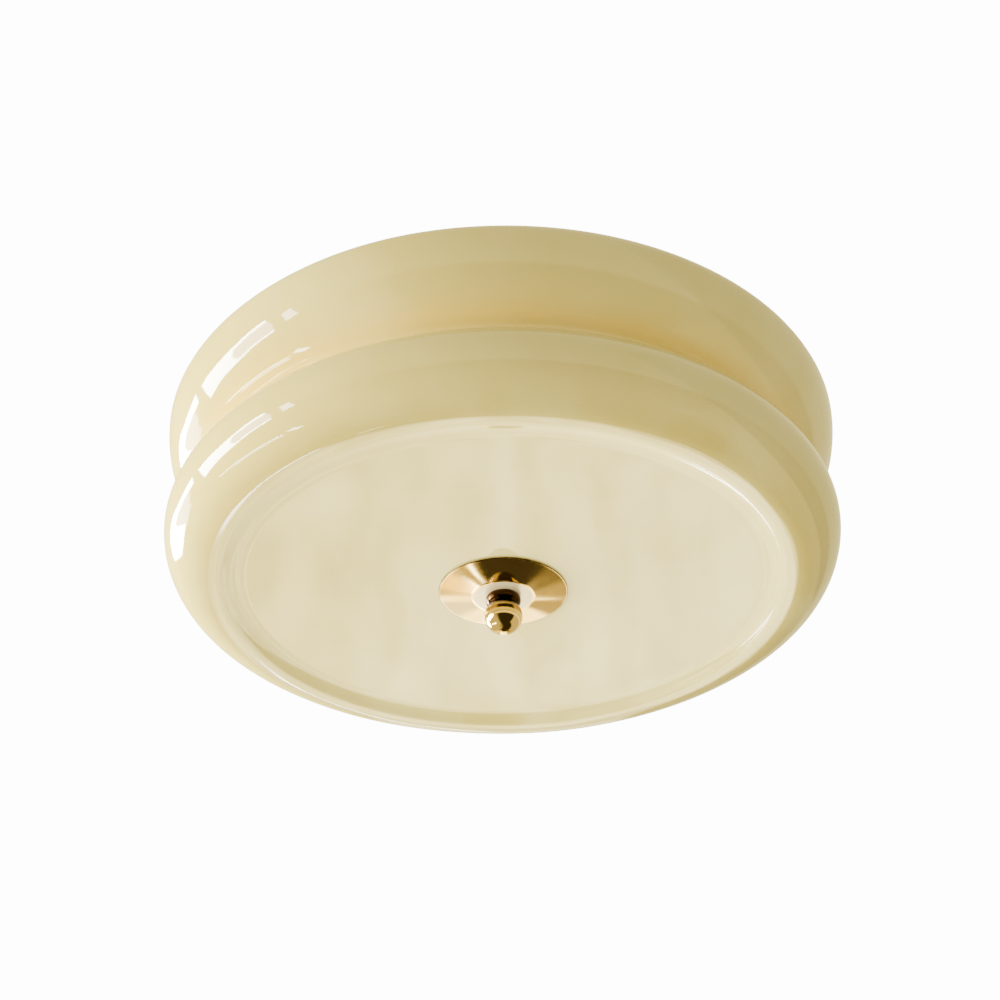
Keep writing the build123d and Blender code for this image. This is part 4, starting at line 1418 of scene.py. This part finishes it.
@dataclass
class Lamps:
    """Three E27 bulbs in their screw shells, modelled once along one lampholder's axis."""

    angles: tuple[float, ...] = (30.0, 150.0, 270.0)
    level: float = -66.0 * MM
    back: float = 24.0 * MM
    holder_length: float = 46.0 * MM
    shell_floor: float = 16.2 * MM
    shell_mouth: float = 45.2 * MM
    shell_outer: float = 14.1 * MM
    pitch: float = 3.62 * MM
    tip: float = 19.9 * MM
    tip_radius: float = 4.8 * MM
    tip_height: float = 1.5 * MM
    insulator_height: float = 4.0 * MM
    insulator_tip: float = 6.0 * MM
    base_radius: float = 13.1 * MM
    thread_depth: float = 0.8 * MM
    base_end: float = 46.4 * MM
    mouth_radius: float = 20.8 * MM
    globe_radius: float = 22.5 * MM
    globe_wall: float = 1.2 * MM
    globe_level: float = 75.4 * MM
    globe_seat: float = 11.0 * MM
    housing_wall: float = 1.0 * MM
    housing_swell: float = 0.55 * MM
    foot_round: float = 0.6 * MM
    lip_round: float = 0.5 * MM
    seat_depth: float = 1.2 * MM
    seat_slope: float = 0.3 * MM
    shell_thread: float = 0.45 * MM
    shell_sheet: float = 0.25 * MM
    wind_steps: int = 40

    def places(self) -> list[Matrix]:
        """Works out each lampholder's frame: Z runs outwards along it and Y is up.

        Returns:
            The frames, in the order of the angles.
        """
        matrices = []
        for angle in self.angles:
            a = radians(angle)
            out, aside = Vector((cos(a), sin(a), 0)), Vector((-sin(a), cos(a), 0))
            matrix = Matrix((aside, (0, 0, 1), out)).transposed().to_4x4()
            matrices.append(Matrix.Translation(out * self.back + Vector((0, 0, self.level))) @ matrix)
        return matrices

    def base(self) -> Piece:
        """Winds the bulb's screw base: a rolled thread, closed at both ends.

        Returns:
            The base, along Z.
        """
        foot = self.tip + self.tip_height + self.insulator_height
        piece = threaded("base", self.base_radius, self.thread_depth, self.pitch, foot, self.base_end,
                         self.wind_steps, rounded=True)
        close_open_edges(piece)
        return piece

    def insulator(self) -> Piece:
        """Spins the black glass cone between the base and the tip.

        Returns:
            The insulator, along Z.
        """
        low = self.tip + self.tip_height
        high = low + self.insulator_height
        rim = self.base_radius - self.thread_depth
        flank = [(self.insulator_tip + (rim - self.insulator_tip) * s**0.8, low + self.insulator_height * s)
                 for s in (0.0, 0.15, 0.35, 0.6, 0.85, 1.0)]
        return turned("insulator", [(0.0, low), *flank, (0.0, high)], 48, closed=False)

    def contact(self) -> Piece:
        """Spins the tip: a low dome of solder on its disc.

        Returns:
            The contact, along Z.
        """
        rise = self.tip_height / 2
        dome = arc((self.tip_radius - rise, self.tip + rise), rise, -90, 90, 6)
        middle = [(0.0, self.tip), (0.4 * self.tip_radius, self.tip + 0.05 * MM)]
        top = [(self.tip_radius, self.tip + self.tip_height), (0.0, self.tip + self.tip_height)]
        return turned("contact", [*middle, *dome, *top], 40, closed=False)

    def housing(self) -> Piece:
        """Spins the plastic housing: a flared cup with a rounded foot and a seat for the globe.

        Returns:
            The housing, along Z.
        """
        start, end = self.base_end, self.globe_level - self.globe_seat
        foot = self.base_radius + self.foot_round
        widening, length = self.mouth_radius - foot, end - start - self.foot_round - self.lip_round
        shares = [i / 14 for i in range(1, 14)]
        flare = [(foot + widening * s + self.housing_swell * sin(pi * s),
                  start + self.foot_round + length * s) for s in shares]
        rounded = arc((self.base_radius, start + self.foot_round), self.foot_round, -90, 80, 5)
        lip = arc((self.mouth_radius - self.lip_round, end - self.lip_round), self.lip_round, 0, 90, 5)
        inner, seat_level = self.mouth_radius - self.housing_wall, end - self.seat_depth
        section = [(0.0, start), (self.base_radius, start), *rounded, *flare, *lip, (inner, end),
                   (inner - self.seat_slope, seat_level), (0.0, seat_level)]
        return turned("housing", section, 64, closed=False)

    def globe(self) -> Piece:
        """Spins the frosted globe: a thin round wall, open where it seats in the housing.

        Returns:
            The globe, along Z.
        """
        centre = (0.0, self.globe_level)
        turn = degrees(atan2(self.globe_seat, sqrt(self.globe_radius**2 - self.globe_seat**2)))
        outer = arc(centre, self.globe_radius, 90, -90 - turn, 40)
        inner = arc(centre, self.globe_radius - self.globe_wall, -turn, 90 + turn, 30)
        outer[0] = (0.0, self.globe_level + self.globe_radius)
        inner[-1] = (0.0, self.globe_level + self.globe_radius - self.globe_wall)
        return turned("globe", outer + inner, 64, closed=False)

    def shell(self) -> Piece:
        """Winds the lampholder's screw shell: thin sheet with the same rolled thread.

        Returns:
            The shell, along Z.
        """
        piece = threaded("shell", self.shell_outer, self.shell_thread, self.pitch, self.shell_floor,
                         self.shell_mouth, self.wind_steps, rounded=True)
        modifier = piece.modifiers.new("sheet", "SOLIDIFY")
        modifier.thickness = self.shell_sheet
        modifier.offset = -1.0
        apply_modifier(piece, modifier)
        smooth(piece, SHEET_CREASE)
        return piece

    def build(self, wardrobe: "Wardrobe") -> None:
        """Models the five parts of a bulb and its shell, and copies each to the lampholders.

        Args:
            wardrobe: Where the finishes come from.
        """
        for part, node, slot in (
            (self.base(), "bulb_base", "nickel"),
            (self.insulator(), "bulb_insulator", "black_glass"),
            (self.contact(), "bulb_contact", "nickel"),
            (self.housing(), "bulb_housing", "white_plastic"),
            (self.globe(), "bulb_globe", "bulb_opal"),
            (self.shell(), "holder_shell", "nickel"),
        ):
            for number, place in enumerate(self.places(), 1):
                copy = placed(part, f"shaped_{node}_{number}", place)
                wardrobe.dress(copy, slot)
                body = "root" if node == "holder_shell" else f"bulb_{number}"
                seat(copy, body, slot, f"{node}_{number}")
            removed(part)


@dataclass(frozen=True)
class Patch:
    """A bright or dim patch of the mirrored room: its span in degrees, soft edges and light.

    A slanted patch rises by its slant for each degree of turn. In a cloudy patch the
    darkest places keep the share dim of its light.
    """

    turn: tuple[float, float]
    rise: tuple[float, float]
    soft: tuple[float, float]
    light: Colour
    slant: float = 0.0
    dim: float = 1.0

    def mask(self, bench: NodeBench, turn: Socket, rise: Socket) -> Socket:
        """One inside the patch, fading at its edges.

        Args:
            bench: The world's nodes.
            turn: The direction's turn, in degrees.
            rise: Its rise above the horizon, in degrees.

        Returns:
            The mask.
        """
        sides = self.span(bench, turn, self.turn, self.soft[0])
        level = bench.maths("SUBTRACT", rise, bench.maths("MULTIPLY", turn, self.slant))
        ends = self.span(bench, level, self.rise, self.soft[1])
        return bench.maths("MULTIPLY", sides, ends)

    def span(self, bench: NodeBench, value: Socket, limits: tuple[float, float], soft: float) -> Socket:
        """One between two limits, fading to nothing across each.

        Args:
            bench: The world's nodes.
            value: The angle to look at, in degrees.
            limits: The two limits.
            soft: How far each fade reaches to either side.

        Returns:
            The share.
        """
        low, high = limits
        return bench.maths("MULTIPLY", bench.between(value, low - soft, low + soft),
                           bench.between(value, high - soft, high + soft, 1.0, 0.0))


@dataclass
class Studio:
    """The camera, the light, the pale floor and the room that the gloss reflects."""

    camera_place: Point3 = (0.0, -0.8348, -0.6316)
    camera_rise: float = 33.41
    camera_pan: float = -0.07
    camera_tilt: float = 1.36
    camera_roll: float = 0.76
    lens: float = 59.65
    near_clip: float = 0.05
    far_clip: float = 50.0
    floor_level: float = -2.2
    floor_size: float = 60.0
    floor_colour: Colour = (0.82, 0.80, 0.76)
    floor_roughness: float = 0.7
    backdrop: float = 14.0
    left_light: Colour = (1.36, 1.24, 0.80)
    right_light: Colour = (0.70, 0.64, 0.40)
    floor_light: Colour = (4.6, 4.2, 2.7)
    dark_wall: Colour = (0.05, 0.04, 0.02)
    pale_ceiling: Colour = (2.3, 2.0, 0.8)
    horizon: Point = (-7.0, -1.0)
    cloud_scale: float = 0.42
    wobble_scale: float = 3.5
    wobble: float = 2.2
    lights: tuple[tuple[str, float, float], ...] = (
        ("pane_near", 186.0, 150.0), ("pane_middle", 164.0, 210.0), ("pane_far", 140.0, 150.0),
    )
    light_size: Point = (0.9, 1.3)
    light_colour: Colour = (1.0, 0.92, 0.50)
    light_rise: float = -6.0
    light_distance: float = 2.4
    walls: tuple[Patch, ...] = (
        # The lower walls, at the left and at the right across the turn of 180 degrees.
        Patch((-48.0, 62.0), (-75.0, -3.0), (14.0, 20.0), (1.2, 1.05, 0.5)),
        Patch((92.0, 200.0), (-48.0, -3.0), (5.0, 5.0), (1.15, 0.95, 0.42)),
        Patch((-200.0, -158.0), (-48.0, -3.0), (5.0, 5.0), (1.15, 0.95, 0.42)),
        # The brighter wall and the golden floor left of straight ahead.
        Patch((62.0, 79.0), (-36.0, -3.0), (8.0, 3.0), (2.9, 2.35, 0.8)),
        Patch((60.0, 80.0), (-52.0, -40.0), (3.0, 1.5), (1.3, 1.0, 0.2)),
        Patch((60.0, 80.0), (-41.0, -32.0), (3.0, 1.5), (4.4, 2.9, 0.3)),
        # The bright cloudy floor and wall straight ahead, which the panel mirrors.
        Patch((77.0, 84.0), (-26.0, -16.0), (1.0, 1.5), (3.4, 3.1, 2.2)),
        Patch((77.3, 102.0), (-41.0, -25.0), (0.4, 1.0), (10.5, 9.0, 4.6), 0.0, 0.5),
        Patch((83.0, 97.0), (-26.0, 3.0), (1.0, 2.0), (8.0, 6.8, 3.4), 0.0, 0.8),
        # The tan walls right of it, a darker one below them, and the dark floor close by.
        Patch((101.6, 120.0), (-36.0, -17.0), (0.5, 1.5), (1.05, 0.80, 0.28)),
        Patch((97.5, 120.0), (-25.5, -17.0), (0.5, 0.8), (1.15, 0.88, 0.33)),
        Patch((102.0, 120.0), (-48.0, -35.5), (0.6, 2.5), (0.32, 0.25, 0.12)),
        Patch((81.8, 102.6), (-62.0, -42.5), (0.5, 1.2), (0.08, 0.06, 0.035)),
        # Thin bright strips along the panel's edge.
        Patch((78.9, 79.8), (-49.0, -45.4), (0.25, 0.4), (16.0, 15.0, 13.0)),
        Patch((80.5, 88.8), (-190.0, -188.4), (0.5, 0.5), (50.0, 47.0, 42.0), 2.0),
        Patch((77.4, 78.6), (-42.0, -34.0), (0.3, 1.0), (40.0, 37.0, 32.0)),
    )
    panes: tuple[Patch, ...] = (
        # The far window at the left, and the middle one.
        Patch((22.0, 37.0), (3.0, 11.0), (0.5, 0.6), (150.0, 142.0, 128.0)),
        Patch((26.0, 38.0), (-15.0, 4.0), (1.0, 1.0), (30.0, 26.0, 22.0)),
        Patch((37.0, 47.0), (-13.0, 11.0), (0.5, 0.6), (150.0, 142.0, 128.0)),
        Patch((-1.0, 17.0), (-9.0, 8.0), (0.6, 0.6), (150.0, 144.0, 124.0)),
        # The near window, dim between two bright edges, and a dim strip beside it.
        Patch((-15.0, 0.0), (-7.0, 6.0), (0.6, 0.8), (30.0, 25.0, 22.0)),
        Patch((-15.0, 0.0), (5.4, 7.6), (0.6, 0.4), (140.0, 130.0, 114.0)),
        Patch((-15.0, 0.0), (-9.5, -7.0), (0.6, 0.4), (110.0, 100.0, 86.0)),
        Patch((-25.5, -20.0), (-7.0, 3.0), (0.5, 0.6), (44.0, 36.0, 32.0)),
        # Slanted streaks and a spot of light, low at the left.
        Patch((-3.0, 19.0), (-42.6, -41.2), (0.6, 0.4), (80.0, 74.0, 60.0), 0.78),
        Patch((-1.0, 16.0), (-46.0, -44.4), (0.6, 0.4), (60.0, 54.0, 44.0), 0.78),
        Patch((-10.0, -6.0), (-50.0, -44.0), (0.6, 0.6), (60.0, 54.0, 44.0)),
    )

    def build(self) -> None:
        """Builds the camera, the world, the lights and the floor."""
        self.build_camera()
        self.build_room()
        self.build_lights()
        self.build_floor()

    def build_camera(self) -> None:
        """Stands the camera below the near side of the light and looks up."""
        data = bpy.data.cameras.new("camera")
        data.lens = self.lens
        data.clip_start = self.near_clip
        data.clip_end = self.far_clip
        camera = bpy.data.objects.new("camera", data)
        bpy.context.scene.collection.objects.link(camera)
        turn = (
            Matrix.Rotation(radians(90 + self.camera_rise), 4, "X")
            @ Matrix.Rotation(radians(-self.camera_pan), 4, "Y")
            @ Matrix.Rotation(radians(self.camera_tilt), 4, "X")
            @ Matrix.Rotation(radians(-self.camera_roll), 4, "Z")
        )
        camera.matrix_world = Matrix.Translation(self.camera_place) @ turn
        bpy.context.scene.camera = camera

    def build_room(self) -> None:
        """Makes the world: a white backdrop, soft light from below, and a room for the gloss."""
        world = bpy.data.worlds.new("room")
        bpy.context.scene.world = world
        world.use_nodes = True
        world.node_tree.nodes.clear()
        bench = NodeBench(world.node_tree)
        way = bench.add("ShaderNodeTexCoord").outputs["Generated"]
        rays = bench.add("ShaderNodeLightPath")
        soft = bench.add("ShaderNodeBackground", {"Color": self.soft_light(bench, way)})
        gloss = bench.add("ShaderNodeBackground", {"Color": self.mirrored_room(bench, way)})
        white = bench.add("ShaderNodeBackground", {"Color": rgba((1, 1, 1)), "Strength": self.backdrop})
        lit = bench.add("ShaderNodeMixShader", {0: rays.outputs["Is Glossy Ray"], 1: soft.outputs[0],
                                                2: gloss.outputs[0]})
        seen = bench.add("ShaderNodeMixShader", {0: rays.outputs["Is Camera Ray"], 1: lit.outputs[0],
                                                 2: white.outputs[0]})
        bench.add("ShaderNodeOutputWorld", {"Surface": seen.outputs[0]})

    def aligned(self, bench: NodeBench, way: Socket, toward: Vector) -> Socket:
        """How far a direction points toward another: the cosine between them."""
        inputs = {0: way, 1: toward.normalized()}
        return bench.add("ShaderNodeVectorMath", inputs, operation="DOT_PRODUCT").outputs["Value"]

    def soft_light(self, bench: NodeBench, way: Socket) -> Socket:
        """The diffuse light: bright from the floor, dimmer from the right.

        Args:
            bench: The world's nodes.
            way: The direction that the light comes from.

        Returns:
            The light's colour.
        """
        down = self.aligned(bench, way, Vector((0.0, 0.2, -1.0)))
        glow = bench.maths("POWER", bench.maths("MAXIMUM", down, 0.0), 2.0)
        side = bench.between(self.aligned(bench, way, Vector((1.0, 0.1, 0.0))), -0.6, 0.9)
        light = bench.mix(side, rgba(self.left_light), rgba(self.right_light))
        return bench.mix(glow, light, rgba(self.floor_light))

    def mirrored_room(self, bench: NodeBench, way: Socket) -> Socket:
        """What the gloss reflects: a pale ceiling, dark lower walls, windows and a lit far floor.

        Turns are counted from the left (minus X) towards the far side (plus Y).

        Args:
            bench: The world's nodes.
            way: The direction that the mirror looks in.

        Returns:
            The room's colour.
        """
        parts = bench.add("ShaderNodeSeparateXYZ", {0: way})
        across, along, up = parts.outputs
        turn = bench.maths("DEGREES", bench.maths("ARCTAN2", along, bench.maths("MULTIPLY", across, -1.0)))
        rise = bench.maths("DEGREES", bench.maths("ARCSINE", up))
        room = bench.mix(bench.between(rise, *self.horizon), rgba(self.dark_wall), rgba(self.pale_ceiling))
        spot = bench.add("ShaderNodeCombineXYZ", {0: turn, 1: bench.maths("MULTIPLY", rise, 0.4)})
        clouds = bench.between(bench.noise(spot.outputs[0], self.cloud_scale, 2.0), 0.35, 0.65)
        for wall in self.walls:
            dimmed = rgba(tuple(wall.dim * level for level in wall.light))
            light = bench.mix(clouds, dimmed, rgba(wall.light)) if wall.dim < 1.0 else dimmed
            room = bench.mix(wall.mask(bench, turn, rise), room, light)
        waves = bench.noise(way, self.wobble_scale, 0.0, 0.2)
        wobble = bench.between(waves, 0.25, 0.75, -self.wobble, self.wobble)
        turn, rise = bench.maths("ADD", turn, wobble), bench.maths("ADD", rise, wobble)
        for pane in self.panes:
            room = bench.mix(pane.mask(bench, turn, rise), room, rgba(pane.light))
        return room

    def build_lights(self) -> None:
        """Hangs three window panes at the left, which the gloss doesn't mirror."""
        for name, azimuth, power in self.lights:
            data = bpy.data.lights.new(name, "AREA")
            data.shape = "RECTANGLE"
            data.size, data.size_y = self.light_size
            data.energy = power
            data.color = self.light_colour
            light = bpy.data.objects.new(name, data)
            light.visible_glossy = False
            bpy.context.scene.collection.objects.link(light)
            a, e = radians(azimuth), radians(self.light_rise)
            place = Vector((cos(a) * cos(e), sin(a) * cos(e), sin(e))) * self.light_distance
            aim = (-place).to_track_quat("-Z", "Y").to_matrix().to_4x4()
            light.matrix_world = Matrix.Translation(place) @ aim

    def build_floor(self) -> None:
        """Lays the plain pale floor."""
        deselect()
        bpy.ops.mesh.primitive_plane_add(size=self.floor_size, location=(0, 0, self.floor_level))
        floor = bpy.context.object
        floor.name = "floor"
        material, _, shader = new_material("floor")
        shader.inputs["Base Color"].default_value = rgba(self.floor_colour)
        shader.inputs["Roughness"].default_value = self.floor_roughness
        dress(floor, material)
        floor.visible_glossy = False
        floor.visible_diffuse = False


def main() -> None:
    """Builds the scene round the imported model."""
    logging.basicConfig(level=logging.INFO, format="%(message)s")
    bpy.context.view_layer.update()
    Studio().build()
    shade = GlassShade()
    shade.build()
    panel_face = shade.floor + shade.recess_depth
    BrassCap(panel_face).build()
    Finial(panel_face).build()
    wardrobe = Wardrobe(FINISHES)
    HangingRod().build(wardrobe)
    lamps = Lamps()
    lamps.build(wardrobe)
    Fasteners().build(lamps.places(), wardrobe)
    wardrobe.dress_nodes()


if __name__ == "__main__":
    main()
